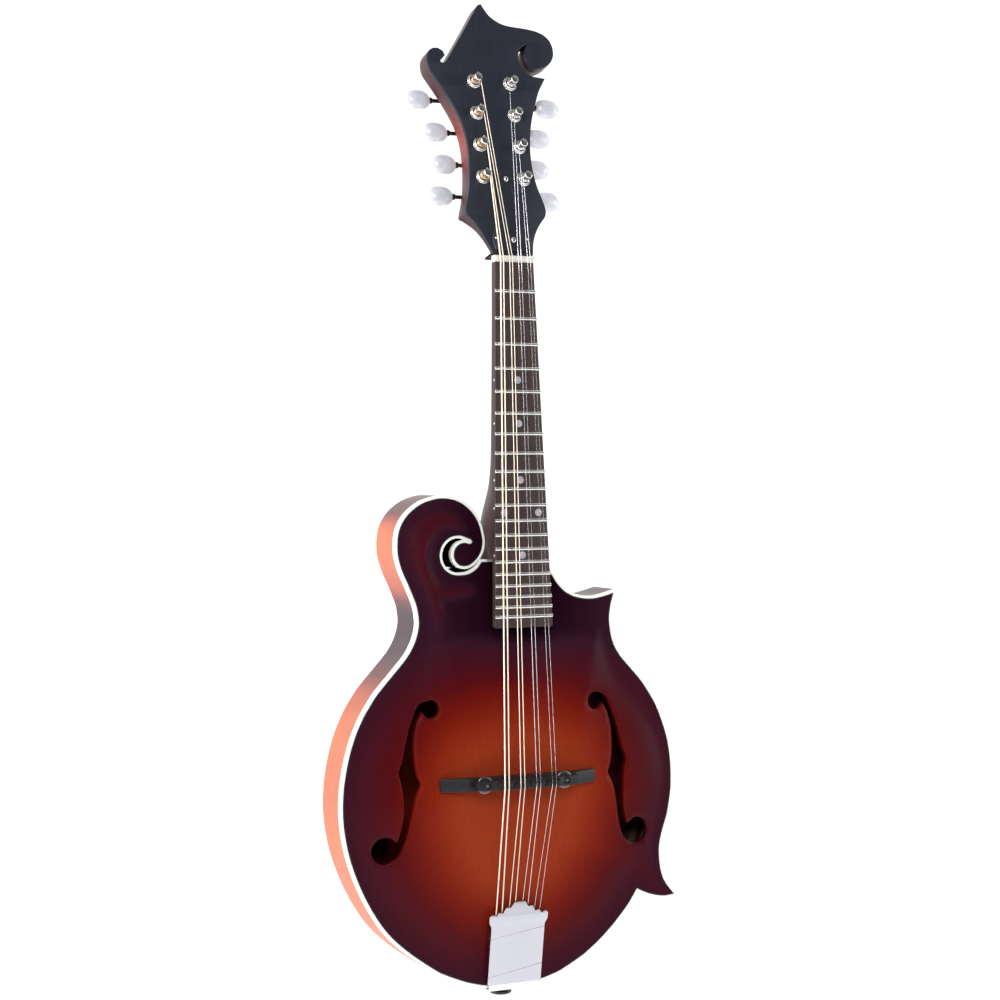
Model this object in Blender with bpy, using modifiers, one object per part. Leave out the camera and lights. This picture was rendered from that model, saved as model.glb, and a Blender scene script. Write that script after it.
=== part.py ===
"""F-style mandolin, built from its separate wooden, metal and plastic parts.

The instrument stands on end: +Z runs up along the neck, the front faces -Y and +X is the treble side.
The origin is the centre of the end pin's flat outer face. Lengths below are millimetres, and MM turns
them into metres. Three flat frames carry the outlines: BODY, NECK and PEGHEAD. In each of them x is
across, the second number runs up the instrument and the third is the height towards the front.
"""

import math

import bmesh
import bpy
import numpy as np
from mathutils import Matrix, Vector
from mathutils.geometry import delaunay_2d_cdt

MM = 0.001
GAP = 0.3
SMOOTH_ANGLE = math.radians(35)

# Body
TAIL_RISE = 12.5
HALF_DEPTH = 19.2
BINDING_WIDTH = 1.8
BINDING_HEIGHT = 4.6
RIM_THICKNESS = 2.6
PLATE_EDGE = 4.3
PLATE_MIDDLE = 3.6
TOP_RISE = 16.6
BACK_RISE = 17.2
ARCH_LENGTH = 48.0
ARCH_POWER = 1.35
ARCH_STRETCH = 0.42
RECURVE_DEPTH = 0.8
GRID_STEP = 20.0
BODY_TOP = 289.5

# Neck and fingerboard
SCALE_LENGTH = 352.4
FRETS = 20
JOIN_FRET = 15
NECK_TILT = math.radians(3.27)
NUT_Y = -25.6
NUT_Z = 506.5
NUT_LENGTH = 4.5
NUT_WIDTH = 31.0
BOARD_THICKNESS = 5.0
BOARD_WIDTH_NUT = 28.9
BOARD_WIDTH_LAST = 42.8
BOARD_TAIL = 7.5
FRET_WIDTH = 2.0
FRET_HEIGHT = 1.0
TENON = (18.0, 20.0, 15.0)
SUPPORT_HALF = 15.0
HEEL_CAP_RADIUS = 10.5
HEEL_CAP_THICKNESS = 2.0
ROD_WIDTH = 5.0
ROD_DEPTH = 7.0
ROD_BOTTOM = -189.0
ROD_TOP = 12.0
ROD_NUT_DEPTH = 9.3
ROD_NUT_LENGTH = 8.0

# Peghead and tuners
PEG_TILT = math.radians(15.0)
PEG_Y = -23.2
PEG_Z = 511.0
OVERLAY = 2.3
PEG_THICKNESS = 13.5
POST_ROW = 57.0
POST_PITCH = 23.6
POST_COLUMN = 15.4
COLUMN_LEAN = 0.53
POST_RADIUS = 3.0
POST_HEIGHT = 9.5
WAIST_RADIUS = 2.4
HOLE_RADIUS = 3.5
PLATE_THICKNESS = 1.0
PLATE_HALF = 6.6
EAR_SIZE = (1.2, 5.0, 7.9)
EAR_OFFSET = 5.6
GEAR_TEETH = 15
GEAR_TIP = 6.1
GEAR_ROOT = 5.0
GEAR_DEPTH = 18.8
GEAR_THICKNESS = 2.2
WORM_OFFSET = 8.3
WORM_CORE = 1.6
SHAFT_RADIUS = 1.4
BUTTON_REACH = (40.8, 35.6, 39.4, 49.8)
BUTTON_SIZE = (19.2, 14.4, 8.6)
CORNER_START = 30.0
CORNER_CUT = (10.5, 9.0)

# Bridge
BRIDGE_Z = 152.6
STRING_Y_SADDLE = -49.6
BRIDGE_HALF = 58.5
BRIDGE_WIDTH = 9.0
SADDLE_HALF = 37.5
SADDLE_WIDTH = 6.4
BRIDGE_POST_X = 30.0
BRIDGE_POST_RADIUS = 1.5
BRIDGE_POST_REACH = 3.0
BRIDGE_POST_SUNK = 4.0
SADDLE_HOLE_DEPTH = 3.7
WHEEL_RADIUS = 6.0
WHEEL_FRONT = 40.6
WHEEL_THICKNESS = 1.8
BASE_FRONT = 38.0

# Tail
PIN_RADIUS = 7.8
PIN_HEIGHT = 6.9
PIN_SHAFT = 4.4
TAIL_TILT = math.radians(-9.4)
COVER_FRONT = 22.6
BASE_TILT = math.radians(-3.9)
COVER_SKIN = 0.8
HOOK_SIZE = (1.6, 2.6, 2.0)
HOOK_Z = 44.0
STRING_END = 3.0

# Strings: radius of each course, and where the courses and pairs lie
STRING_RADII = (0.51, 0.33, 0.205, 0.14)
NUT_COURSES = (-10.3, -3.4, 3.4, 10.3)
NUT_PAIR = 1.05
SADDLE_COURSES = (-17.9, -6.0, 6.0, 17.9)
SADDLE_PAIR = 1.5
TAIL_SPREAD = 32.0
COIL_SIDES = 9
COIL_POINTS = 12
COIL_SPACE = 0.2
COIL_TOP = 4.7

# Outlines. The body's is the line just inside the binding, clockwise from the neck's treble side.
CUTAWAY = [(20.5, 289.5), (25, 286), (30, 281), (36, 272.5), (43, 266.5), (52, 263), (62, 262), (71, 263.3),
           (79.5, 265.5)]
TREBLE_BOUT = [(79.5, 265.5), (76.8, 256), (76, 245), (78.5, 232), (84, 222), (92, 213), (102, 202),
               (111, 189), (118, 174), (123, 158), (125.3, 140), (125, 122), (122.5, 108), (119, 97),
               (116.5, 88), (115.8, 79), (117, 68), (120.5, 58.5), (128, 49)]
POINT_UNDERSIDE = [(128, 49), (120, 48.3), (111, 50), (104, 52.5), (98, 55.5)]
TAIL_AND_BASS = [(98, 55.5), (92, 46.5), (80, 33), (66, 20.5), (52, 11), (38, 4), (20, -1), (0, -2),
                 (-20, -1), (-38, 4), (-52, 10), (-68, 20.5), (-82, 31.5), (-95, 45), (-108, 66),
                 (-118, 90), (-123, 112), (-124, 131), (-122, 150), (-117, 170), (-109, 188), (-98, 204),
                 (-87, 216), (-78, 226), (-72.5, 235), (-69.5, 244), (-69, 252), (-71, 262), (-76, 274),
                 (-81.5, 286), (-84.3, 298), (-83.3, 311), (-78, 321), (-69, 328.5), (-59, 332.3),
                 (-49.5, 333.2), (-39.2, 330.8), (-30.4, 324.5), (-24.7, 316), (-21.9, 306), (-22.1, 299.5),
                 (-24.2, 294.2), (-28.3, 289.8), (-33, 287.2), (-36.5, 287.0)]
BUTTON_CENTRE, BUTTON_RADIUS = (-35.1, 294.9), 8.0
SLOT_TIP = [(-29.9, 302.4), (-29.3, 303.6), (-30.4, 305.2)]
SLOT_CENTRE, SLOT_RADIUS = (-40.0, 294.4), 13.6
SLOT_LIP = [(-35.5, 280.9), (-31, 281.9), (-27, 284.2), (-24.2, 286.8), (-22.6, 289.5)]

# The treble sound hole, anticlockwise from its inner nick
F_INNER_LOW = [(70.4, 140.8), (74.4, 132.5), (77.6, 119.5), (80, 107.5), (82.6, 98.7), (86, 93), (89.5, 90.7)]
F_OUTER_LOW = [(87.6, 103.2), (85.1, 111), (83.6, 121), (83.6, 133), (84.7, 142), (86.3, 149.9)]
F_OUTER_HIGH = [(86.3, 149.9), (83.6, 157.5), (81.1, 168), (77.4, 180.5), (72.8, 191.2), (69.2, 195.6),
                (65.5, 197.5)]
F_INNER_HIGH = [(68.2, 189.3), (72.2, 182.5), (74.5, 172), (74.7, 160), (73.3, 149), (70.4, 140.8)]
F_EYE_UPPER, F_EYE_UPPER_RADIUS = (62.2, 191.2), 6.2
F_EYE_LOWER, F_EYE_LOWER_RADIUS = (95.5, 97.8), 9.3

PEG_TREBLE = [(15.6, 1.2), (16.6, 8), (18.3, 14), (21.2, 20), (25, 25.5), (28.4, 29.6), (29.7, 34),
              (29, 39), (27.2, 45), (25.4, 51.5), (24.1, 58), (23.3, 66), (23.2, 74), (23.8, 82),
              (25, 90.5), (26.9, 99), (29.3, 107), (32.3, 115), (36, 124), (42, 134)]
PEG_LIP = [(42, 134), (36.5, 134.6), (31.5, 135.3)]
PEG_SLOT_OUTER = [(31.5, 135.3), (27.5, 138.7), (24.2, 143.6), (23.1, 150), (25.4, 156), (31.5, 159.6)]
PEG_SLOT_INNER = [(31.5, 159.6), (28.9, 155), (28.0, 150), (28.8, 145.2), (31.2, 142.2), (34.7, 140.6)]
PEG_CROWN = [(34.7, 140.6), (39.3, 141.4), (43.4, 143.1), (47.2, 145.8), (49.8, 149.4), (51.2, 154),
             (50.8, 159.8), (48.4, 164.8), (43.6, 168.4), (37, 170.4), (28, 171.4), (20, 171.9),
             (13.5, 173), (8, 175.6), (3, 179.8), (-1.5, 187.2)]
PEG_SLANT = [(-1.5, 187.2), (-4, 186.2), (-16, 167.5), (-29.2, 147.5), (-32.8, 142)]
PEG_HOOK = [(-32.8, 142), (-34.6, 139.9), (-37, 140.2), (-38, 142), (-36.6, 143.9), (-33.6, 145.6)]
PEG_BASS = [(-33.6, 145.6), (-35, 149), (-38.4, 150.9), (-42.5, 150.4), (-46, 147.6), (-47.9, 142.5),
            (-47.3, 135.5), (-44, 129.5), (-40, 123), (-36, 116), (-32.2, 108.7), (-28.9, 101.5),
            (-26.6, 94.5), (-25.2, 87), (-24.5, 79), (-24.6, 69.5), (-25.4, 60), (-26.7, 50.5),
            (-28.6, 42), (-30.8, 35), (-32, 30.4), (-29.8, 27.6), (-26.6, 24), (-23, 18.5), (-20, 12.5),
            (-17.0, 6.5), (-15.0, 1.2)]

MATERIALS = {
    "spruce_sunburst": ((0.34, 0.09, 0.03), 0.35, 0.0),
    "maple_finished": ((0.36, 0.10, 0.05), 0.35, 0.0),
    "raw_wood": ((0.62, 0.45, 0.27), 0.7, 0.0),
    "ivory_plastic": ((0.88, 0.84, 0.72), 0.35, 0.0),
    "black_wood": ((0.02, 0.02, 0.025), 0.4, 0.0),
    "rosewood": ((0.09, 0.045, 0.03), 0.55, 0.0),
    "bone": ((0.87, 0.84, 0.76), 0.4, 0.0),
    "ebony": ((0.05, 0.045, 0.045), 0.5, 0.0),
    "chrome": ((0.82, 0.82, 0.83), 0.12, 1.0),
    "nickel": ((0.72, 0.70, 0.66), 0.22, 1.0),
    "black_plastic": ((0.015, 0.015, 0.015), 0.3, 0.0),
    "pearl_plastic": ((0.85, 0.85, 0.88), 0.25, 0.0),
    "bronze_wire": ((0.75, 0.50, 0.30), 0.3, 1.0),
    "steel_wire": ((0.70, 0.71, 0.73), 0.25, 1.0),
    "steel": ((0.45, 0.45, 0.46), 0.35, 1.0),
    "brass": ((0.72, 0.55, 0.25), 0.3, 1.0),
}


# Scene set-up

def clear_scene():
    for obj in list(bpy.data.objects):
        bpy.data.objects.remove(obj, do_unlink=True)


def new_collection(name):
    collection = bpy.data.collections.new(name)
    bpy.context.scene.collection.children.link(collection)
    return collection


def make_material(name):
    color, roughness, metallic = MATERIALS[name]
    material = bpy.data.materials.new(name)
    material.use_nodes = True
    shader = material.node_tree.nodes["Principled BSDF"]
    shader.inputs["Base Color"].default_value = (*color, 1.0)
    shader.inputs["Roughness"].default_value = roughness
    shader.inputs["Metallic"].default_value = metallic
    return material


clear_scene()
PARTS = new_collection("mandolin")
CUTTERS = new_collection("cutters")
MATERIAL = {name: make_material(name) for name in MATERIALS}


def tilted(y, z, angle):
    """A frame whose second axis leans back from +Z by the angle, and whose third axis faces the front."""
    place = Matrix.Translation((0, y * MM, z * MM))
    return place @ Matrix.Rotation(math.pi / 2 - angle, 4, "X")


BODY = tilted(0, TAIL_RISE, 0)
FRONT = tilted(0, 0, 0)
WORLD = Matrix.Identity(4)
NECK = tilted(NUT_Y, NUT_Z, NECK_TILT)
PEGHEAD = tilted(PEG_Y, PEG_Z, PEG_TILT)
TAILPIECE = tilted(-COVER_FRONT, TAIL_RISE, TAIL_TILT)


def finish(obj, material):
    """Links an object as a part, or as a hidden cutter when it has no material."""
    if material:
        PARTS.objects.link(obj)
        obj.data.materials.append(MATERIAL[material])
        return obj
    CUTTERS.objects.link(obj)
    obj.hide_render = True
    obj.display_type = "WIRE"
    return obj


def mesh_object(name, bm, frame, material):
    mesh = bpy.data.meshes.new(name)
    bmesh.ops.recalc_face_normals(bm, faces=bm.faces)
    bm.to_mesh(mesh)
    bm.free()
    mesh.shade_smooth()
    mesh.set_sharp_from_angle(angle=SMOOTH_ANGLE)
    obj = bpy.data.objects.new(name, mesh)
    obj.matrix_world = frame
    return finish(obj, material)


# Curves and outlines, all in millimetres

def spline(points, step):
    """Points along a Catmull-Rom curve through the given ones, about one step apart, without the last."""
    count = len(points)
    found = []
    for i in range(count - 1):
        a, b, c, d = (Vector(points[min(max(k, 0), count - 1)]) for k in range(i - 1, i + 3))
        pieces = max(1, round((c - b).length / step))
        for k in range(pieces):
            t = k / pieces
            middle = 2 * b + (c - a) * t + (2 * a - 5 * b + 4 * c - d) * t * t
            found.append(tuple((middle + (3 * b - a - 3 * c + d) * t ** 3) / 2))
    return found


def arc(centre, radius, start, end, count):
    angles = [math.radians(start + (end - start) * i / (count - 1)) for i in range(count)]
    return [(centre[0] + radius * math.cos(a), centre[1] + radius * math.sin(a)) for a in angles]


def edge_gap(points, outline, stretch=1.0):
    """Each point's distance to a closed outline, with lengths along the body scaled by stretch."""
    scale = np.array([1.0, stretch])
    spots = np.asarray(points, float)[:, None, :] * scale
    start = np.asarray(outline, float) * scale
    run = np.roll(start, -1, axis=0) - start
    along = ((spots - start) * run).sum(-1) / np.maximum((run * run).sum(-1), 1e-9)
    nearest = start + np.clip(along, 0, 1)[..., None] * run
    return np.sqrt(((spots - nearest) ** 2).sum(-1)).min(axis=1)


def inside(points, outline):
    x, z = np.asarray(points, float).T
    found = np.zeros(len(x), bool)
    for (ax, az), (bx, bz) in zip(outline, outline[1:] + outline[:1]):
        crosses = (az > z) != (bz > z)
        found ^= crosses & (x < (bx - ax) * (z - az) / ((bz - az) or 1.0) + ax)
    return found


def grown(outline, distance):
    """A clockwise outline moved outwards, or inwards when the distance is negative."""
    points = np.asarray(outline, float)
    before = points - np.roll(points, 1, axis=0)
    after = np.roll(points, -1, axis=0) - points
    before /= np.linalg.norm(before, axis=1)[:, None]
    after /= np.linalg.norm(after, axis=1)[:, None]
    left_before = np.stack([-before[:, 1], before[:, 0]], 1)
    left_after = np.stack([-after[:, 1], after[:, 0]], 1)
    mitre = left_before + left_after
    mitre /= np.maximum(1 + (left_before * left_after).sum(1), 0.25)[:, None]
    moved = points + mitre * distance
    keep = edge_gap(moved, outline) > abs(distance) * 0.985 - 1e-6
    return [tuple(p) for p in moved[keep]]


def body_outline():
    points = spline(CUTAWAY, 7) + spline(TREBLE_BOUT, 11)
    points += spline(POINT_UNDERSIDE, 10) + spline(TAIL_AND_BASS, 11)
    points += arc(BUTTON_CENTRE, BUTTON_RADIUS, 250, 62, 8)
    points += SLOT_TIP
    points += arc(SLOT_CENTRE, SLOT_RADIUS, 60, 262, 11)
    return points + SLOT_LIP


def f_hole(side):
    """The sound hole: two round eyes joined by a curved slot with a nick on each side."""
    points = spline(F_INNER_LOW, 11) + arc(F_EYE_LOWER, F_EYE_LOWER_RADIUS, 230, 500, 10)
    points += spline(F_OUTER_LOW, 11) + spline(F_OUTER_HIGH, 8)
    points += arc(F_EYE_UPPER, F_EYE_UPPER_RADIUS, 85, 338, 9) + spline(F_INNER_HIGH, 11)
    return [(side * x, z) for x, z in points]


OUTLINE = body_outline()
EDGE = grown(OUTLINE, BINDING_WIDTH)


def arch(points, rise):
    """How far a carved plate stands above its edge."""
    gap = edge_gap(points, OUTLINE, ARCH_STRETCH)
    swell = 1 - np.exp(-((gap / ARCH_LENGTH) ** ARCH_POWER))
    dip = RECURVE_DEPTH * np.exp(-(((gap - 7) / 5) ** 2))
    return (rise * swell - dip) * np.clip(gap / 4, 0, 1)


def top_front(x, z):
    """Height of the top's outer face in the BODY frame."""
    return HALF_DEPTH + float(arch([(x, z)], TOP_RISE)[0])


# Solids

def evaluated(name, data, modify=None):
    """The mesh that a curve, or a mesh with a modifier, gives, as a welded bmesh."""
    guide = bpy.data.objects.new(name + "_guide", data)
    CUTTERS.objects.link(guide)
    if modify:
        modify(guide)
    graph = bpy.context.evaluated_depsgraph_get()
    mesh = bpy.data.meshes.new_from_object(guide.evaluated_get(graph))
    bpy.data.objects.remove(guide, do_unlink=True)
    bm = bmesh.new()
    bm.from_mesh(mesh)
    bmesh.ops.remove_doubles(bm, verts=bm.verts, dist=1e-6)
    bmesh.ops.dissolve_degenerate(bm, edges=bm.edges, dist=1e-7)
    return bm


def flat_solid(name, loops, low, high, frame, material):
    """A filled outline, with any further loops as holes, between two heights of its frame."""
    curve = bpy.data.curves.new(name, "CURVE")
    curve.dimensions = "2D"
    curve.fill_mode = "BOTH"
    curve.extrude = (high - low) / 2 * MM
    for loop in loops:
        line = curve.splines.new("POLY")
        line.points.add(len(loop) - 1)
        line.use_cyclic_u = True
        for point, (x, y) in zip(line.points, loop):
            point.co = (x * MM, y * MM, 0, 1)
    middle = Matrix.Translation((0, 0, (low + high) / 2 * MM))
    return mesh_object(name, evaluated(name, curve), frame @ middle, material)


def box(name, low, high, frame, material):
    """A box between two corners of its frame."""
    bm = bmesh.new()
    bmesh.ops.create_cube(bm, size=1.0)
    size = (Vector(high) - Vector(low)) * MM
    centre = (Vector(high) + Vector(low)) / 2 * MM
    bmesh.ops.scale(bm, vec=size, verts=bm.verts)
    bmesh.ops.translate(bm, vec=centre, verts=bm.verts)
    return mesh_object(name, bm, frame, material)


def turned(name, profile, frame, sides, material):
    """A profile of (radius, height) pairs, top to bottom, turned round the frame's third axis."""
    line = bpy.data.meshes.new(name)
    points = [(radius * MM, 0, height * MM) for radius, height in profile]
    line.from_pydata(points, [(i, i + 1) for i in range(len(points) - 1)], [])

    def turn(guide):
        screw = guide.modifiers.new("turn", "SCREW")
        screw.steps = screw.render_steps = sides
        screw.use_merge_vertices = True
        screw.merge_threshold = 1e-6

    return mesh_object(name, evaluated(name, line, turn), frame, material)


def cylinders(name, spots, radius, frame, sides=12):
    """One cutter that holds several cylinders: each spot is (start, end) in its frame."""
    bm = bmesh.new()
    for start, end in spots:
        start, end = Vector(start) * MM, Vector(end) * MM
        turn = (end - start).to_track_quat("Z", "Y").to_matrix().to_4x4()
        place = Matrix.Translation((start + end) / 2) @ turn
        bmesh.ops.create_cone(bm, cap_ends=True, segments=sides, radius1=radius * MM, radius2=radius * MM,
                              depth=(end - start).length, matrix=place)
    return mesh_object(name, bm, frame, None)


def boolean(obj, other, operation="DIFFERENCE"):
    modifier = obj.modifiers.new(operation.lower(), "BOOLEAN")
    modifier.operation = operation
    modifier.object = other
    modifier.solver = "EXACT"
    return obj


def loft(name, sections, frame, material):
    """A skin through sections that all have the same number of points, with both ends closed."""
    bm = bmesh.new()
    rings = [[bm.verts.new(Vector(p) * MM) for p in section] for section in sections]
    count = len(sections[0])
    for low, high in zip(rings, rings[1:]):
        for i in range(count):
            bm.faces.new((low[i], low[(i + 1) % count], high[(i + 1) % count], high[i]))
    bm.faces.new(rings[0])
    bm.faces.new(rings[-1])
    bmesh.ops.triangulate(bm, faces=[f for f in bm.faces if len(f.verts) > 4])
    return mesh_object(name, bm, frame, material)


def wire(name, points, radius, material):
    """A round wire through world points."""
    curve = bpy.data.curves.new(name, "CURVE")
    curve.dimensions = "3D"
    curve.bevel_depth = radius * MM
    curve.bevel_resolution = 1
    curve.use_fill_caps = True
    line = curve.splines.new("POLY")
    line.points.add(len(points) - 1)
    for point, place in zip(line.points, points):
        point.co = (*(Vector(place) * MM), 1)
    return finish(bpy.data.objects.new(name, curve), material)


def at(frame, x, y, z):
    """A point of a frame as world millimetres."""
    return frame @ Vector((x * MM, y * MM, z * MM)) / MM


# Body

def carved_plate(name, holes, rise, facing, material):
    """A plate carved to an arch outside and hollowed inside, on a triangle grid with its holes left out."""
    outline = grown(OUTLINE, -GAP)
    loops = [outline] + holes
    low, high = np.min(outline, axis=0), np.max(outline, axis=0)
    rows = np.arange(low[1], high[1], GRID_STEP * 0.87)
    grid = [(x + GRID_STEP / 2 * (k % 2), z) for k, z in enumerate(rows)
            for x in np.arange(low[0], high[0], GRID_STEP)]
    clear = inside(grid, outline) & (edge_gap(grid, outline) > GRID_STEP * 0.42)
    for hole in holes:
        clear &= ~inside(grid, hole) & (edge_gap(grid, hole) > GRID_STEP * 0.35)
    flat, edges = [], []
    for loop in loops:
        first = len(flat)
        flat += loop
        edges += [(first + i, first + (i + 1) % len(loop)) for i in range(len(loop))]
    flat += [p for p, keep in zip(grid, clear) if keep]
    points, _, faces, *_ = delaunay_2d_cdt([Vector(p) for p in flat], edges, [], 0, 1e-4)
    points = [tuple(p) for p in points]
    centres = [tuple(sum((Vector(points[i]) for i in face), Vector((0, 0))) / 3) for face in faces]
    solid = inside(centres, outline)
    for hole in holes:
        solid &= ~inside(centres, hole)
    gap = edge_gap(points, OUTLINE)
    outer = HALF_DEPTH + arch(points, rise)
    thickness = PLATE_EDGE + (PLATE_MIDDLE - PLATE_EDGE) * np.clip((gap - 12) / 40, 0, 1)
    bm = bmesh.new()
    fronts = [bm.verts.new((p[0] * MM, p[1] * MM, facing * h * MM)) for p, h in zip(points, outer)]
    backs = [bm.verts.new((p[0] * MM, p[1] * MM, facing * h * MM)) for p, h in zip(points, outer - thickness)]
    sides = {}
    for face, keep in zip(faces, solid):
        if not keep:
            continue
        bm.faces.new([fronts[i] for i in face])
        bm.faces.new([backs[i] for i in reversed(face)])
        for i in range(3):
            a, b = face[i], face[(i + 1) % 3]
            if sides.pop((b, a), None) is None:
                sides[a, b] = True
    for a, b in sides:
        bm.faces.new((fronts[a], backs[a], backs[b], fronts[b]))
    loose = [v for v in bm.verts if not v.link_faces]
    bmesh.ops.delete(bm, geom=loose, context="VERTS")
    return mesh_object(name, bm, BODY, material)


def inner_prism(name, half_height):
    """The space inside the rim, a little short of it, as a solid to cut blocks from."""
    return flat_solid(name, [grown(OUTLINE, -RIM_THICKNESS + BINDING_WIDTH - GAP)], -half_height, half_height,
                      BODY, "raw_wood")


def block(name, low, high, height):
    """A block that fills a corner of the rim, cut out of the inner space by a box."""
    piece = inner_prism(name, height)
    limits = box(name + "_limits", (low[0], low[1], -50), (high[0], high[1], 50), BODY, None)
    return boolean(piece, limits, "INTERSECT")


def strip(points, width):
    """A long thin outline: the line itself and the same line moved sideways."""
    line = np.asarray(points, float)
    run = np.gradient(line, axis=0)
    run /= np.linalg.norm(run, axis=1)[:, None]
    other = line + np.stack([run[:, 1], -run[:, 0]], 1) * width
    return [tuple(p) for p in line] + [tuple(p) for p in other[::-1]]


def make_body():
    rim_top = HALF_DEPTH - BINDING_HEIGHT - GAP
    rim = flat_solid("rim", [EDGE, grown(OUTLINE, -RIM_THICKNESS + BINDING_WIDTH)], -rim_top, rim_top, BODY,
                     "maple_finished")
    tenon_room = [side / 2 + GAP for side in TENON]
    mortise = box("mortise", (-tenon_room[0], BODY_TOP - TENON[2] - 5, -tenon_room[1]),
                  (tenon_room[0], BODY_TOP + 10, tenon_room[1]), BODY, None)
    pin_hole = cylinders("pin_hole", [((0, -20, 0), (0, 30, 0))], PIN_SHAFT + 2 * GAP, BODY)
    boolean(rim, mortise)
    boolean(rim, pin_hole)
    for side, sign in (("top", 1), ("back", -1)):
        low, high = sorted((sign * HALF_DEPTH, sign * (HALF_DEPTH - BINDING_HEIGHT)))
        flat_solid(side + "_binding", [EDGE, OUTLINE], low, high, BODY, "ivory_plastic")
    carved_plate("top_plate", [f_hole(1), f_hole(-1)], TOP_RISE, 1, "spruce_sunburst")
    carved_plate("back_plate", [], BACK_RISE, -1, "maple_finished")

    height = HALF_DEPTH - PLATE_EDGE - GAP
    head = block("head_block", (-110, 259), (27, 340), height)
    boolean(head, mortise)
    tail = block("tail_block", (-30, -20), (30, 16), height)
    boolean(tail, pin_hole)
    block("upper_point_block", (52, 248), (90, 280), height)
    block("lower_point_block", (106, 30), (140, 74), height)

    bass = [(-33, 5.5), (-50, 13), (-66, 23), (-80, 34.5), (-92.5, 47.5), (-105, 68), (-114.5, 91),
            (-119.6, 113), (-120.5, 131), (-118.5, 149.5), (-113.5, 169), (-105.5, 186.5),
            (-95, 201.5), (-84, 213.5), (-74.5, 224), (-68.5, 234), (-65.5, 245), (-65.5, 255.5)]
    treble = [(72.5, 245), (75, 230.5), (81.5, 219.5), (99, 200), (108, 187), (115, 172.5), (119.5, 157),
              (121.7, 139.5), (121.4, 122), (119, 108.5), (115.3, 97), (111, 86), (103, 68), (93, 53),
              (78, 36), (64, 23.5), (50, 14), (33, 5.5)]
    for side, sign in (("top", 1), ("back", -1)):
        low, high = sorted((sign * height, sign * (height - 7)))
        flat_solid(side + "_lining_bass", [strip(bass, 5.0)], low, high, BODY, "raw_wood")
        flat_solid(side + "_lining_treble", [strip(treble, 5.0)], low, high, BODY, "raw_wood")

    for name, sign in (("tone_bar_treble", 1), ("tone_bar_bass", -1)):
        sections = []
        for t in np.linspace(0, 1, 7):
            z = 66 + 150 * t
            x = sign * (34 - 10 * t)
            top = top_front(x, z) - PLATE_EDGE - 0.5
            low = top - 3 - 7 * math.sin(math.pi * t) ** 0.7
            sections.append([(x - 3, z, top), (x + 3, z, top), (x + 3, z, low), (x - 3, z, low)])
        loft(name, sections, BODY, "raw_wood")


# Neck

def board_y(z):
    """World y of the fingerboard's surface, carried on past both its ends."""
    return NUT_Y - (NUT_Z - z) * math.tan(NECK_TILT)


def fret_place(number):
    return SCALE_LENGTH * (1 - 2 ** (-number / 12))


def board_half(distance):
    grow = (BOARD_WIDTH_LAST - BOARD_WIDTH_NUT) / fret_place(FRETS)
    return (BOARD_WIDTH_NUT + grow * distance) / 2


def neck_section(z, depth, power, flat_back):
    """A neck cross-section: flat under the fingerboard and rounded behind, or cut flat at the heel."""
    top = board_y(z) + (BOARD_THICKNESS + GAP) / math.cos(NECK_TILT)
    half = board_half(NUT_Z - z) - 0.2
    section = []
    for i in range(13):
        angle = math.pi * i / 12
        side = math.copysign(abs(math.cos(angle)) ** (2 / power), math.cos(angle))
        back = top + depth * math.sin(angle) ** (2 / power)
        section.append((half * side, min(back, flat_back), z))
    return section


def corner_cutter(name, line):
    """Takes the peghead's back corner off, more and more towards the nut, to meet the round neck."""
    sections = []
    side = math.copysign(1, line[0][0])
    for x, s in [(line[0][0], -6)] + line:
        share = 1 - (s / (CORNER_START + 1)) ** 2
        tall, wide = (size * share for size in CORNER_CUT)
        slope = Vector((wide, tall)).normalized() * 3
        high = (abs(x) + slope[0], tall - PEG_THICKNESS + slope[1])
        low = (abs(x) - wide - slope[0], -PEG_THICKNESS - slope[1])
        sections.append([(side * u, s, h) for u, h in (high, low, (high[0], low[1]))])
    return loft(name, sections, PEGHEAD, None)


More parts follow.
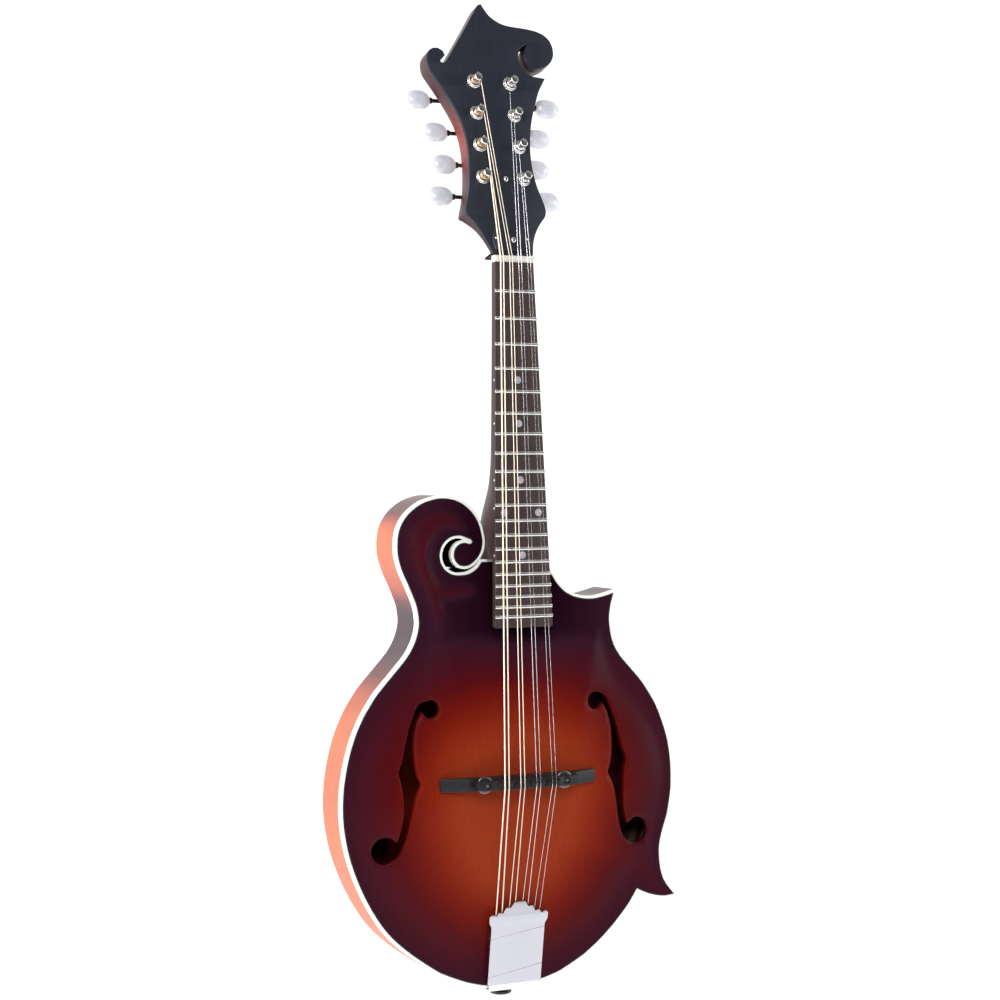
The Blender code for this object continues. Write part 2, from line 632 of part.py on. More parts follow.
def make_neck():
    heel_z = BODY_TOP + BINDING_WIDTH + TAIL_RISE + GAP
    stations = [(512.5, 13.0, 1.7), (505, 15.0, 1.7), (470, 15.4, 1.7), (420, 16.0, 1.8), (375, 16.6, 2.0),
                (363, 18.0, 2.1), (354, 23.0, 2.1), (346, 31.5, 2.0), (337, 41.5, 1.9), (324, 50.0, 1.9),
                (312, 54.5, 1.85), (heel_z, 57.0, 1.85)]
    sections = [neck_section(z, depth, power, HALF_DEPTH) for z, depth, power in stations]
    neck = loft("neck", sections, WORLD, "maple_finished")
    core = flat_solid("peghead_core", [peg_outline()], -PEG_THICKNESS, -OVERLAY - GAP, PEGHEAD, None)
    boolean(core, corner_cutter("corner_treble", PEG_TREBLE[:6]))
    boolean(core, corner_cutter("corner_bass", PEG_BASS[:-8:-1]))
    boolean(neck, core, "UNION")
    half_x, half_y, deep = TENON[0] / 2, TENON[1] / 2, TENON[2]
    tenon = box("tenon", (-half_x, -half_y, heel_z - deep), (half_x, half_y, heel_z + 3), WORLD, None)
    boolean(neck, tenon, "UNION")
    groove = box("rod_groove", (-ROD_WIDTH / 2 - GAP, ROD_BOTTOM - 1, -BOARD_THICKNESS - ROD_DEPTH - 4 * GAP),
                 (ROD_WIDTH / 2 + GAP, ROD_TOP + 10, 4), NECK, None)
    boolean(neck, groove)
    boolean(neck, post_holes())
    box("truss_rod", (-ROD_WIDTH / 2, ROD_BOTTOM, -BOARD_THICKNESS - ROD_DEPTH - 2 * GAP),
        (ROD_WIDTH / 2, ROD_TOP, -BOARD_THICKNESS - 3 * GAP), NECK, "steel")
    nut_low = NECK @ Matrix.Translation((0, (ROD_TOP + GAP) * MM, -ROD_NUT_DEPTH * MM))
    nut = [(0, ROD_NUT_LENGTH), (ROD_WIDTH / 2 - 0.6, ROD_NUT_LENGTH), (ROD_WIDTH / 2, ROD_NUT_LENGTH - 0.8),
           (ROD_WIDTH / 2, 0), (0, 0)]
    turned("truss_rod_nut", nut, nut_low @ Matrix.Rotation(-math.pi / 2, 4, "X"), 6, "brass")

    cap = arc((0, heel_z + GAP), HEEL_CAP_RADIUS, 0, 180, 11)
    cap = [(x, z + 0.9 * (z - heel_z)) for x, z in cap]
    cap_top = -HALF_DEPTH - GAP
    flat_solid("heel_cap", [cap[::-1]], cap_top - HEEL_CAP_THICKNESS, cap_top, FRONT, "ivory_plastic")


def make_fingerboard():
    """The board's side view, with a bump for each fret, drawn out across and then tapered."""
    end = fret_place(FRETS) + BOARD_TAIL
    line = [(0, 0)]
    for number in range(1, FRETS + 1):
        s = fret_place(number)
        line += [(s - FRET_WIDTH / 2, 0), (s - FRET_WIDTH / 4, FRET_HEIGHT),
                 (s + FRET_WIDTH / 4, FRET_HEIGHT), (s + FRET_WIDTH / 2, 0)]
    line += [(end, 0), (end, -BOARD_THICKNESS), (0, -BOARD_THICKNESS)]
    bm = bmesh.new()
    sides = [[bm.verts.new((sign * board_half(s) * MM, -s * MM, h * MM)) for s, h in line]
             for sign in (1, -1)]
    caps = [bm.faces.new(side) for side in sides]
    for i in range(len(line)):
        k = (i + 1) % len(line)
        bm.faces.new((sides[0][i], sides[0][k], sides[1][k], sides[1][i]))
    bmesh.ops.triangulate(bm, faces=caps)
    mesh_object("fingerboard", bm, NECK, "rosewood")

    nut = [(0, -BOARD_THICKNESS), (0, 0.2), (0.9, 1.2), (NUT_LENGTH, 0.3), (NUT_LENGTH, -BOARD_THICKNESS)]
    sections = [[(x, GAP + s * 0.94, h) for s, h in nut] for x in (-NUT_WIDTH / 2, NUT_WIDTH / 2)]
    loft("nut", sections, NECK, "bone")

    support_top = -BOARD_THICKNESS - GAP
    half = SUPPORT_HALF
    sections = []
    for s in np.linspace(fret_place(JOIN_FRET) + 1.2, end - 5, 5):
        edge = at(NECK, 0, -s, support_top)
        z = edge[2] - TAIL_RISE
        low = max(top_front(x, z) for x in (-half, 0, half)) + 0.5
        foot = (NECK.inverted() @ Vector((0, -low * MM, edge[2] * MM)) / MM)[2]
        sections.append([(-half, -s, support_top), (half, -s, support_top), (half, -s, foot),
                         (-half, -s, foot)])
    loft("fingerboard_support", sections, NECK, "black_wood")


# Peghead and tuners

def peg_outline():
    points = spline(PEG_TREBLE, 10)
    for stretch in (PEG_LIP, PEG_SLOT_OUTER, PEG_SLOT_INNER, PEG_CROWN, PEG_SLANT, PEG_HOOK):
        points += spline(stretch, 10)
    points += spline(PEG_BASS, 10) + [PEG_BASS[-1]]
    return points[::-1]


def post_place(side, row):
    return side * (POST_COLUMN - COLUMN_LEAN * row), POST_ROW + POST_PITCH * row


def post_holes(name="post_holes"):
    spots = []
    for side in (-1, 1):
        for row in range(4):
            x, s = post_place(side, row)
            spots.append(((x, s, -PEG_THICKNESS - 5), (x, s, 5)))
    return cylinders(name, spots, HOLE_RADIUS, PEGHEAD, 10)


def make_peghead():
    overlay = flat_solid("peghead_overlay", [peg_outline()], -OVERLAY, 0, PEGHEAD, "black_wood")
    boolean(overlay, post_holes("overlay_post_holes"))
    boolean(overlay, box("rod_pocket", (-4, 3.5, -6), (4, 24, 3), PEGHEAD, None))

    bell = [(0, 62), (4.2, 60.5), (5.6, 56), (5.0, 50), (5.6, 42), (7.6, 33), (10.5, 24), (13.6, 16),
            (14.6, 9), (13.2, 3.2)]
    half = spline(bell, 4) + [bell[-1]]
    shape = half + [(-x, s) for x, s in reversed(half[1:])]
    flat_solid("truss_rod_cover", [shape], GAP, 1.8, PEGHEAD, "black_plastic")


def gear_outline():
    """Pointed teeth round a circle, with one tooth gap facing the worm."""
    points = []
    for step in range(2 * GEAR_TEETH):
        radius = GEAR_TIP if step % 2 else GEAR_ROOT
        angle = -math.pi / 2 + math.pi * step / GEAR_TEETH
        points.append((radius * math.cos(angle), radius * math.sin(angle)))
    return points


def make_tuner(side, row):
    label = f"{'bass' if side < 0 else 'treble'}_{row + 1}"
    x, s = post_place(side, row)
    post_frame = PEGHEAD @ Matrix.Translation((x * MM, s * MM, 0))
    half = GEAR_THICKNESS / 2
    gear = flat_solid("tuner_post_" + label, [gear_outline()], -GEAR_DEPTH - half, -GEAR_DEPTH + half,
                      post_frame, "nickel")
    profile = [(0, POST_HEIGHT), (POST_RADIUS - 0.5, POST_HEIGHT), (POST_RADIUS, POST_HEIGHT - 0.6),
               (POST_RADIUS, 6.8), (WAIST_RADIUS, 6.2), (WAIST_RADIUS, 2.8), (POST_RADIUS, 2.2),
               (POST_RADIUS, -GEAR_DEPTH), (0, -GEAR_DEPTH)]
    boolean(gear, turned("post_" + label, profile, post_frame, 10, None), "UNION")

    reach = BUTTON_REACH[row] - abs(x)
    end = reach - BUTTON_SIZE[0] / 2 + 2
    worm_place = Matrix.Translation((x * MM, (s - WORM_OFFSET) * MM, -GEAR_DEPTH * MM))
    worm_frame = PEGHEAD @ worm_place @ Matrix.Rotation(side * math.pi / 2, 4, "Y")
    shaft = [(0, end), (SHAFT_RADIUS + 0.3, end), (SHAFT_RADIUS, end - 5), (SHAFT_RADIUS, 4.2),
             (WORM_CORE, 4.2), (WORM_CORE, -4.2), (SHAFT_RADIUS, -4.2), (SHAFT_RADIUS, -6.8), (0, -6.8)]
    knob = turned("tuner_knob_" + label, shaft, worm_frame, 8, "pearl_plastic")
    bm = bmesh.new()
    bmesh.ops.create_uvsphere(bm, u_segments=10, v_segments=6, radius=0.5)
    bmesh.ops.scale(bm, vec=Vector((BUTTON_SIZE[2], BUTTON_SIZE[1], BUTTON_SIZE[0])) * MM, verts=bm.verts)
    button = mesh_object("button_" + label, bm, worm_frame @ Matrix.Translation((0, 0, reach * MM)), None)
    boolean(knob, button, "UNION")


def make_tuner_plate(side):
    """A strip on the peghead's back with a pair of ears for each worm shaft."""
    name = "tuner_plate_" + ("bass" if side < 0 else "treble")
    back = -PEG_THICKNESS - GAP
    low_x, low_s = post_place(side, 0)
    high_x, high_s = post_place(side, 3)
    outline = [(low_x - PLATE_HALF, low_s - 14), (high_x - PLATE_HALF, high_s + 9),
               (high_x + PLATE_HALF, high_s + 9), (low_x + PLATE_HALF, low_s - 14)]
    plate = flat_solid(name, [outline], back - PLATE_THICKNESS, back, PEGHEAD, "nickel")
    ear_middle = back - EAR_SIZE[2] / 2 - 0.4
    ears = bmesh.new()
    shafts, posts = [], []
    for row in range(4):
        x, s = post_place(side, row)
        worm = s - WORM_OFFSET
        for offset in (-EAR_OFFSET, EAR_OFFSET):
            cube = bmesh.ops.create_cube(ears, size=MM)["verts"]
            bmesh.ops.scale(ears, vec=EAR_SIZE, verts=cube)
            bmesh.ops.translate(ears, vec=Vector((x + offset, worm, ear_middle)) * MM, verts=cube)
        shafts.append(((x - 9, worm, -GEAR_DEPTH), (x + 9, worm, -GEAR_DEPTH)))
        posts.append(((x, s, back - 3), (x, s, back + 3)))
    boolean(plate, mesh_object(name + "_ears", ears, PEGHEAD, None), "UNION")
    boolean(plate, cylinders(name + "_shafts", shafts, SHAFT_RADIUS + 0.4, PEGHEAD, 8))
    boolean(plate, cylinders(name + "_posts", posts, HOLE_RADIUS, PEGHEAD, 10))


# Bridge

def make_bridge():
    """The foot follows the arch of the top. The saddle rides on two thumbwheels on threaded posts."""
    z = BRIDGE_Z - TAIL_RISE
    stations = np.linspace(-BRIDGE_HALF, BRIDGE_HALF, 13)
    under = [(x, max(top_front(x, z - BRIDGE_WIDTH / 2), top_front(x, z + BRIDGE_WIDTH / 2)) + 0.35)
             for x in stations]
    upper = [(BRIDGE_HALF, under[-1][1] + 1.6), (46, 35.6), (39.5, BASE_FRONT), (-39.5, BASE_FRONT),
             (-46, 35.6), (-BRIDGE_HALF, under[0][1] + 1.6)]
    flat_frame = Matrix.Translation((0, 0, BRIDGE_Z * MM)) @ Matrix.Rotation(math.pi, 4, "X")
    half = BRIDGE_WIDTH / 2
    base = flat_solid("bridge_base", [under + upper], -half, half, flat_frame, "ebony")
    posts_x = (-BRIDGE_POST_X, BRIDGE_POST_X)
    sunk = BASE_FRONT - BRIDGE_POST_SUNK
    spots = [((x, sunk - GAP, 0), (x, BASE_FRONT + 5, 0)) for x in posts_x]
    boolean(base, cylinders("base_post_holes", spots, BRIDGE_POST_RADIUS + 0.45, flat_frame, 10))

    low = WHEEL_FRONT + GAP
    crown = -STRING_Y_SADDLE - STRING_RADII[0] - GAP
    saddle = [(-SADDLE_HALF, low), (-20, low), (-17, low + 1.6), (17, low + 1.6), (20, low),
              (SADDLE_HALF, low), (SADDLE_HALF, low + 3.6), (31, low + 4.7), (23.5, crown - 0.6),
              (21.5, crown), (-21.5, crown), (-23.5, crown - 0.6), (-31, low + 4.7),
              (-SADDLE_HALF, low + 3.6)]
    top = flat_solid("bridge_saddle", [saddle], -SADDLE_WIDTH / 2, SADDLE_WIDTH / 2, flat_frame, "ebony")
    spots = [((x, low - 3, 0), (x, low + SADDLE_HOLE_DEPTH, 0)) for x in posts_x]
    boolean(top, cylinders("saddle_post_holes", spots, BRIDGE_POST_RADIUS + 0.3, flat_frame, 10))

    for label, x in zip(("bass", "treble"), posts_x):
        spot = FRONT @ Matrix.Translation((x * MM, BRIDGE_Z * MM, 0))
        tip = low + BRIDGE_POST_REACH
        post = [(0, tip), (BRIDGE_POST_RADIUS, tip), (BRIDGE_POST_RADIUS, sunk), (0, sunk)]
        turned("bridge_post_" + label, post, spot, 10, "nickel")
        back = WHEEL_FRONT - WHEEL_THICKNESS
        hole = BRIDGE_POST_RADIUS + GAP
        wheel = [(hole, WHEEL_FRONT), (WHEEL_RADIUS, WHEEL_FRONT), (WHEEL_RADIUS, back), (hole, back),
                 (hole, WHEEL_FRONT)]
        turned("thumbwheel_" + label, wheel, spot, 16, "nickel")


# Tail

def mirrored(half):
    """A closed outline from its right half, which starts at the bottom."""
    return (half + [(-x, s) for x, s in reversed(half) if x > 0])[::-1]


def cover_outlines():
    """The tailpiece cover, with straight sides, ears and a stepped crown, and the space inside it."""
    outside = [(19.2, -1.0), (20.2, 0.5), (20.2, 40.0), (22.0, 44.2), (22.2, 48.4), (19.8, 50.0),
               (17.0, 48.8), (15.2, 51.3), (12.0, 50.8), (10.0, 54.6), (6.5, 54.4), (4.0, 57.6), (0, 58.4)]
    room = [(19.4, -0.2), (19.4, 40.3), (21.2, 44.5), (21.3, 47.9), (18.6, 48.6), (18.6, 63.0)]
    return mirrored(outside), mirrored(room)


def make_tail():
    front = [(10, 7.3), (-20.7, 7.3), (-21.1, 8.2), (-24.1, 51.0), (-23.2, 51.0), (-20.2, 8.3), (10, 8.3)]
    base = loft("tailpiece_base", [[(x, y, z) for y, z in front] for x in (-18.5, 18.5)], WORLD,
                "nickel")
    hooks = bmesh.new()
    for x in string_tail_places():
        cube = bmesh.ops.create_cube(hooks, size=MM)["verts"]
        bmesh.ops.scale(hooks, vec=HOOK_SIZE, verts=cube)
        bmesh.ops.translate(hooks, vec=Vector((x, -24.6, HOOK_Z)) * MM, verts=cube)
    boolean(base, mesh_object("hooks", hooks, WORLD, None), "UNION")
    boolean(base, cylinders("base_pin_hole", [((0, 0, 4), (0, 0, 12))], PIN_SHAFT + 2 * GAP, WORLD))

    pin = [(0, 30), (PIN_SHAFT - 0.6, 30), (PIN_SHAFT, PIN_HEIGHT), (PIN_RADIUS - 0.8, PIN_HEIGHT),
           (PIN_RADIUS, PIN_HEIGHT - 0.9), (PIN_RADIUS - 1.9, 3.9), (PIN_RADIUS - 1.5, 2.4),
           (PIN_RADIUS, 1.4), (PIN_RADIUS - 0.2, 0.5), (PIN_RADIUS - 1.2, 0), (0, 0)]
    turned("end_pin", pin, WORLD, 16, "black_plastic")

    outside, room = cover_outlines()
    cover = flat_solid("tailpiece_cover", [outside], -8, 0, TAILPIECE, "chrome")
    boolean(cover, box("cover_behind", (-30, -10, -40), (30, 80, 0), tilted(-21.2, 0, BASE_TILT), None))
    boolean(cover, flat_solid("cover_room", [room], -12, -COVER_SKIN, TAILPIECE, None))


# Strings

def string_tail_places():
    return [TAIL_SPREAD * (i / 7 - 0.5) for i in range(8)]


def make_strings():
    """Each string runs from its hook over the saddle and the nut, then winds round its post."""
    names = ("g", "d", "a", "e")
    for index, tail_x in enumerate(string_tail_places()):
        course, member = divmod(index, 2)
        radius = STRING_RADII[course]
        shift = -1 if member == 0 else 1
        side = -1 if course < 2 else 1
        row = index if side < 0 else 7 - index
        post_x, post_s = post_place(side, row)
        nut_x = NUT_COURSES[course] + shift * NUT_PAIR
        saddle_x = SADDLE_COURSES[course] + shift * SADDLE_PAIR
        saddle_y = STRING_Y_SADDLE - radius + STRING_RADII[0]
        points = [(tail_x, -25.6, HOOK_Z + STRING_END),
                  (saddle_x, saddle_y, BRIDGE_Z - SADDLE_WIDTH / 2 - GAP), (saddle_x, saddle_y, BRIDGE_Z),
                  at(NECK, nut_x, 0.9, 1.5 + radius), at(NECK, nut_x, NUT_LENGTH, 1.0 + radius)]
        reach = WAIST_RADIUS + GAP + radius
        for i in range(COIL_POINTS):
            angle = 2 * math.pi * i / COIL_SIDES
            across = post_x - side * reach * math.cos(angle)
            along = post_s + reach * math.sin(angle)
            drop = i * (2 * radius + COIL_SPACE) / COIL_SIDES
            points.append(at(PEGHEAD, across, along, COIL_TOP - drop))
        name = f"string_{names[course]}_{member + 1}"
        wire(name, points, radius, "bronze_wire" if side < 0 else "steel_wire")


make_body()
make_neck()
make_fingerboard()
make_peghead()
for side in (-1, 1):
    make_tuner_plate(side)
    for row in range(4):
        make_tuner(side, row)
make_bridge()
make_tail()
make_strings()
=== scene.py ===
"""Looks of an F-style mandolin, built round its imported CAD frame.

Lengths are millimetres, and MM turns them into metres. Flat frames carry most shapes: in each of them
x is across, the second number runs up the instrument and the third is the height towards the front.
Outlines are read from the CAD nodes and drawn again as smooth curves.
"""

import math

import bmesh
import bpy
import numpy as np
from mathutils import Matrix, Vector
from mathutils.geometry import delaunay_2d_cdt


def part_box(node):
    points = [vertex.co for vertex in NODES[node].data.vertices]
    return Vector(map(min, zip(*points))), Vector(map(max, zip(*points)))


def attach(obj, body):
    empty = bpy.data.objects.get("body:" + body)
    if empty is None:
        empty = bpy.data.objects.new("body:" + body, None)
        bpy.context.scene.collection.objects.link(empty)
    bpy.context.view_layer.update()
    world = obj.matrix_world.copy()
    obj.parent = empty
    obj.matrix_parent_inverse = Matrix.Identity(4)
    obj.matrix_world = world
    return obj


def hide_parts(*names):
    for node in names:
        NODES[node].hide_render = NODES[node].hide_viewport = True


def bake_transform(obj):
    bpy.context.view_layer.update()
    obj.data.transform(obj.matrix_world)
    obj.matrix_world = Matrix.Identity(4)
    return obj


MM = 0.001
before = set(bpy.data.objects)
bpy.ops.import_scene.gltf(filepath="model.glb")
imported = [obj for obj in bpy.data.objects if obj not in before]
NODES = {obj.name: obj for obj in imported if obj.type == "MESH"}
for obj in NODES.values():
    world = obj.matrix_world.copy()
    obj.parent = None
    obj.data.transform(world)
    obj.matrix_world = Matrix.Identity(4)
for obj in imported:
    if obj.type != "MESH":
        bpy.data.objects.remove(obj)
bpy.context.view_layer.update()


def tilted(y, z, angle):
    """A frame whose second axis leans back from +Z by the angle, and whose third axis faces the front."""
    return Matrix.Translation((0, y * MM, z * MM)) @ Matrix.Rotation(math.pi / 2 - angle, 4, "X")


def shifted(place, x, y, z):
    return place @ Matrix.Translation((x * MM, y * MM, z * MM))


# Frames and sizes shared with the CAD
TAIL_RISE = 12.5
HALF_DEPTH = 19.2
BINDING_HEIGHT = 4.6
NUT_Y, NUT_Z = -25.6, 506.5
NECK_TILT = math.radians(3.27)
COVER_FRONT = 22.6
BRIDGE_Z = 152.6
WORLD = Matrix.Identity(4)
OVER = Matrix.Rotation(math.pi, 4, "X")
BODY = tilted(0, TAIL_RISE, 0)
FRONT = tilted(0, 0, 0)
NECK = tilted(NUT_Y, NUT_Z, NECK_TILT)
PEGHEAD = tilted(-23.2, 511.0, math.radians(15.0))
TAILPIECE = tilted(-COVER_FRONT, TAIL_RISE, math.radians(-9.4))
BRIDGE = Matrix.Translation((0, 0, BRIDGE_Z * MM)) @ OVER

TOP_RISE, BACK_RISE = 16.6, 17.2
ARCH_LENGTH, ARCH_POWER, ARCH_STRETCH = 48.0, 1.35, 0.42
RECURVE_DEPTH = 0.8
SLOT_CENTRE, SLOT_REACH = (-38.0, 294.6), 14.8

SCALE_LENGTH, FRETS = 352.4, 20
NUT_LENGTH = 4.5
BOARD_THICKNESS = 5.0
BOARD_WIDTH_NUT, BOARD_WIDTH_LAST = 28.9, 42.8
BOARD_TAIL = 7.5

POST_ROW, POST_PITCH = 57.0, 23.6
POST_COLUMN, COLUMN_LEAN = 15.4, 0.53
POST_HEIGHT, WAIST_RADIUS = 8.8, 2.4
PEG_THICKNESS, OVERLAY = 13.5, 2.3
CORNER_START = 30.0
GEAR_TEETH, GEAR_DEPTH, WORM_OFFSET = 15, 18.8, 8.3
BUTTON_REACH = (40.8, 35.6, 39.4, 49.8)

STRING_RADII = (0.51, 0.33, 0.205, 0.14)
NUT_COURSES, NUT_PAIR = (-10.3, -3.4, 3.4, 10.3), 1.05
SADDLE_COURSES, SADDLE_PAIR = (-17.9, -6.0, 6.0, 17.9), 1.5
SADDLE_Y = -49.6
TAIL_SPREAD, HOOK_Z = 32.0, 44.0


# Materials

class Surface:
    """A Principled material and short ways to add procedural detail to it."""

    def __init__(self, name, roughness=0.4, metallic=0.0, **sockets):
        self.material = bpy.data.materials.new(name)
        self.material.use_nodes = True
        self.nodes = self.material.node_tree.nodes
        self.links = self.material.node_tree.links
        self.shader = self.nodes["Principled BSDF"]
        self.shader.inputs["Roughness"].default_value = roughness
        self.shader.inputs["Metallic"].default_value = metallic
        for socket, value in sockets.items():
            self.shader.inputs[socket.replace("_", " ")].default_value = value
        self.place = self.nodes.new("ShaderNodeTexCoord").outputs["Object"]

    def feed(self, socket, value):
        """Links another node's socket to this one, or gives it a plain value."""
        if isinstance(value, bpy.types.NodeSocket):
            self.links.new(value, socket)
        else:
            socket.default_value = value

    def add(self, kind, settings=(), **inputs):
        node = self.nodes.new(kind)
        for name, value in dict(settings).items():
            setattr(node, name, value)
        for name, value in inputs.items():
            self.feed(node.inputs[name.replace("_", " ")], value)
        return node

    def noise(self, scale, detail=3.0, stretch=(1, 1, 1), rough=0.5):
        spot = self.add("ShaderNodeMapping", Vector=self.place, Scale=stretch).outputs["Vector"]
        node = self.add("ShaderNodeTexNoise", Vector=spot, Scale=scale, Detail=detail, Roughness=rough)
        return node.outputs["Fac"]

    def attribute(self, name):
        return self.add("ShaderNodeAttribute", {"attribute_name": name}).outputs["Fac"]

    def math(self, operation, a, b=0.0):
        node = self.add("ShaderNodeMath", {"operation": operation})
        for socket, value in zip(node.inputs, (a, b)):
            self.feed(socket, value)
        return node.outputs[0]

    def ramp(self, source, stops):
        """A colour ramp. A stop's colour may be one number, for a grey."""
        node = self.add("ShaderNodeValToRGB", Fac=source)
        points = node.color_ramp.elements
        while len(points) < len(stops):
            points.new(0.5)
        for point, (where, color) in zip(points, stops):
            point.position = where
            point.color = (*((color,) * 3 if isinstance(color, float) else color), 1)
        return node.outputs["Color"]

    def grey(self, source, low, high, start=0.0, end=1.0):
        """Spreads a value between two greys."""
        return self.add("ShaderNodeMapRange", Value=source, From_Min=start, From_Max=end, To_Min=low,
                        To_Max=high).outputs["Result"]

    def multiply(self, color, amount):
        node = self.add("ShaderNodeMix", {"data_type": "RGBA", "blend_type": "MULTIPLY"}, Factor=1.0)
        self.links.new(color, node.inputs[6])
        self.links.new(amount, node.inputs[7])
        return node.outputs[2]

    def color(self, source):
        self.links.new(source, self.shader.inputs["Base Color"])
        return self

    def rough(self, source):
        self.links.new(source, self.shader.inputs["Roughness"])
        return self

    def bump(self, height, distance, strength=1.0):
        node = self.add("ShaderNodeBump", Height=height, Distance=distance * MM, Strength=strength)
        self.links.new(node.outputs["Normal"], self.shader.inputs["Normal"])
        return self


TOP_BURST = [(0.0, (0.006, 0.001, 0.004)), (0.14, (0.034, 0.006, 0.016)), (0.34, (0.056, 0.004, 0.010)),
             (0.50, (0.082, 0.003, 0.005)), (0.65, (0.140, 0.006, 0.003)), (0.79, (0.205, 0.014, 0.004)),
             (0.93, (0.265, 0.027, 0.007)), (1.0, (0.285, 0.034, 0.009))]
SIDE_BURST = [(0.0, (0.004, 0.003, 0.003)), (0.12, (0.050, 0.020, 0.030)), (0.4, (0.15, 0.035, 0.034)),
              (0.7, (0.46, 0.095, 0.048)), (1.0, (0.60, 0.155, 0.062))]
NECK_BURST = [(0.0, (0.026, 0.014, 0.020)), (0.5, (0.100, 0.020, 0.022)), (1.0, (0.29, 0.050, 0.042))]


def burst_wood(name, stops, grain, figure=0.0, roughness=0.36, shine=0.5):
    """Stained wood: the burst attribute picks the colour, and where it is 0 the gloss goes too."""
    wood = Surface(name)
    gloss = wood.grey(wood.attribute("burst"), 0.0, shine, 0.0, 0.12)
    wood.links.new(gloss, wood.shader.inputs["Specular IOR Level"])
    broken = wood.math("ADD", wood.attribute("burst"), wood.grey(wood.noise(18, 3), -0.035, 0.035))
    color = wood.ramp(broken, stops)
    lines = wood.noise(160, 4, grain)
    color = wood.multiply(color, wood.ramp(lines, [(0.25, 0.84), (0.75, 1.0)]))
    if figure:
        bands = wood.noise(55, 2, (0.35, 0.35, 1.0) if grain[2] < 1 else (1.0, 0.3, 0.3), 0.6)
        color = wood.multiply(color, wood.ramp(bands, [(0.35, 1 - figure), (0.65, 1.0)]))
    wood.color(color)
    wood.rough(wood.grey(wood.noise(60, 4), roughness - 0.04, roughness + 0.06))
    return wood.bump(lines, 0.05, 0.35).material


def plain_wood(name, dark, light, grain, roughness, depth=0.08, scale=120, shine=0.5):
    wood = Surface(name, Specular_IOR_Level=shine)
    lines = wood.noise(scale, 5, grain, 0.62)
    blotch = wood.noise(14, 3)
    color = wood.ramp(lines, [(0.28, dark), (0.72, light)])
    wood.color(wood.multiply(color, wood.ramp(blotch, [(0.3, 0.8), (0.7, 1.0)])))
    wood.rough(wood.grey(lines, roughness - 0.06, roughness + 0.08))
    return wood.bump(lines, depth, 0.5).material


def metal(name, color, roughness, worn=0.08, scale=400):
    plate = Surface(name, metallic=1.0)
    mottle = plate.noise(scale, 4)
    plate.color(plate.ramp(mottle, [(0.2, [c * 0.9 for c in color]), (0.8, color)]))
    plate.rough(plate.grey(plate.noise(scale / 5, 5), roughness, roughness + worn))
    return plate.bump(mottle, 0.01, 0.15).material


def plastic(name, dark, light, roughness, scale=60, **sockets):
    stuff = Surface(name, **sockets)
    cloud = stuff.noise(scale, 4)
    stuff.color(stuff.ramp(cloud, [(0.3, dark), (0.7, light)]))
    stuff.rough(stuff.grey(stuff.noise(scale * 3, 4), roughness, roughness + 0.08))
    return stuff.bump(cloud, 0.02, 0.1).material


def pearl(name):
    """Pearloid: soft pale cells that turn a little in brightness, with light inside."""
    stuff = Surface(name, Subsurface_Weight=0.35, Subsurface_Scale=4 * MM, Coat_Weight=0.4,
                    Coat_Roughness=0.12)
    stuff.shader.inputs["Subsurface Radius"].default_value = (1.0, 0.95, 1.0)
    warp = stuff.add("ShaderNodeTexNoise", Vector=stuff.place, Scale=150.0, Detail=2.0).outputs["Color"]
    moved = stuff.add("ShaderNodeVectorMath", {"operation": "MULTIPLY_ADD"}).inputs
    stuff.links.new(warp, moved[0])
    moved[1].default_value = (0.006, 0.006, 0.006)
    stuff.links.new(stuff.place, moved[2])
    bent = moved[0].node.outputs[0]
    cells = stuff.add("ShaderNodeTexVoronoi", Vector=bent, Scale=190.0).outputs["Distance"]
    stuff.color(stuff.ramp(cells, [(0.1, (0.60, 0.61, 0.67)), (0.5, (0.65, 0.66, 0.72)),
                                   (0.9, (0.72, 0.73, 0.78))]))
    stuff.rough(stuff.grey(cells, 0.18, 0.3))
    return stuff.material


def wound(name):
    """Wrapped wire: fine turns along the string, with painted shade darkening the seam between each pair of
    turns.
    """
    wire = Surface(name, metallic=0.6)
    wave = wire.add("ShaderNodeTexWave", {"bands_direction": "Z"}, Vector=wire.place, Scale=650.0)
    turns = wave.outputs["Fac"]
    # The dark end of the ramp is painted shade in the seams between turns.
    wire.color(wire.ramp(turns, [(0.0, (0.58, 0.46, 0.34)), (0.6, (0.98, 0.89, 0.75))]))
    wire.rough(wire.grey(turns, 0.34, 0.24))
    return wire.bump(turns, 0.06, 0.6).material


def engraved_chrome(name):
    """Polished plate with faint cloudiness and two fine slanting engraved lines."""
    plate = Surface(name, metallic=1.0)
    parts = plate.add("ShaderNodeSeparateXYZ", Vector=plate.place)
    x, s = parts.outputs["X"], parts.outputs["Y"]
    marks = None
    for rise, slope in ((35.6, 0.155), (8.4, 0.18)):
        slanted = plate.math("MULTIPLY", x, slope)
        off = plate.math("ABSOLUTE", plate.math("SUBTRACT", plate.math("SUBTRACT", s, slanted), rise * MM))
        line = plate.math("LESS_THAN", off, 0.16 * MM)
        marks = line if marks is None else plate.math("MAXIMUM", marks, line)
    cloud = plate.noise(120, 4)
    plate.color(plate.multiply(plate.ramp(marks, [(0.0, (0.49, 0.49, 0.54)), (1.0, (0.28, 0.27, 0.28))]),
                               plate.ramp(cloud, [(0.2, 0.94), (0.8, 1.0)])))
    plate.rough(plate.math("ADD", plate.grey(cloud, 0.16, 0.22), plate.math("MULTIPLY", marks, 0.3)))
    return plate.bump(plate.math("SUBTRACT", 1.0, marks), 0.08, 0.6).material


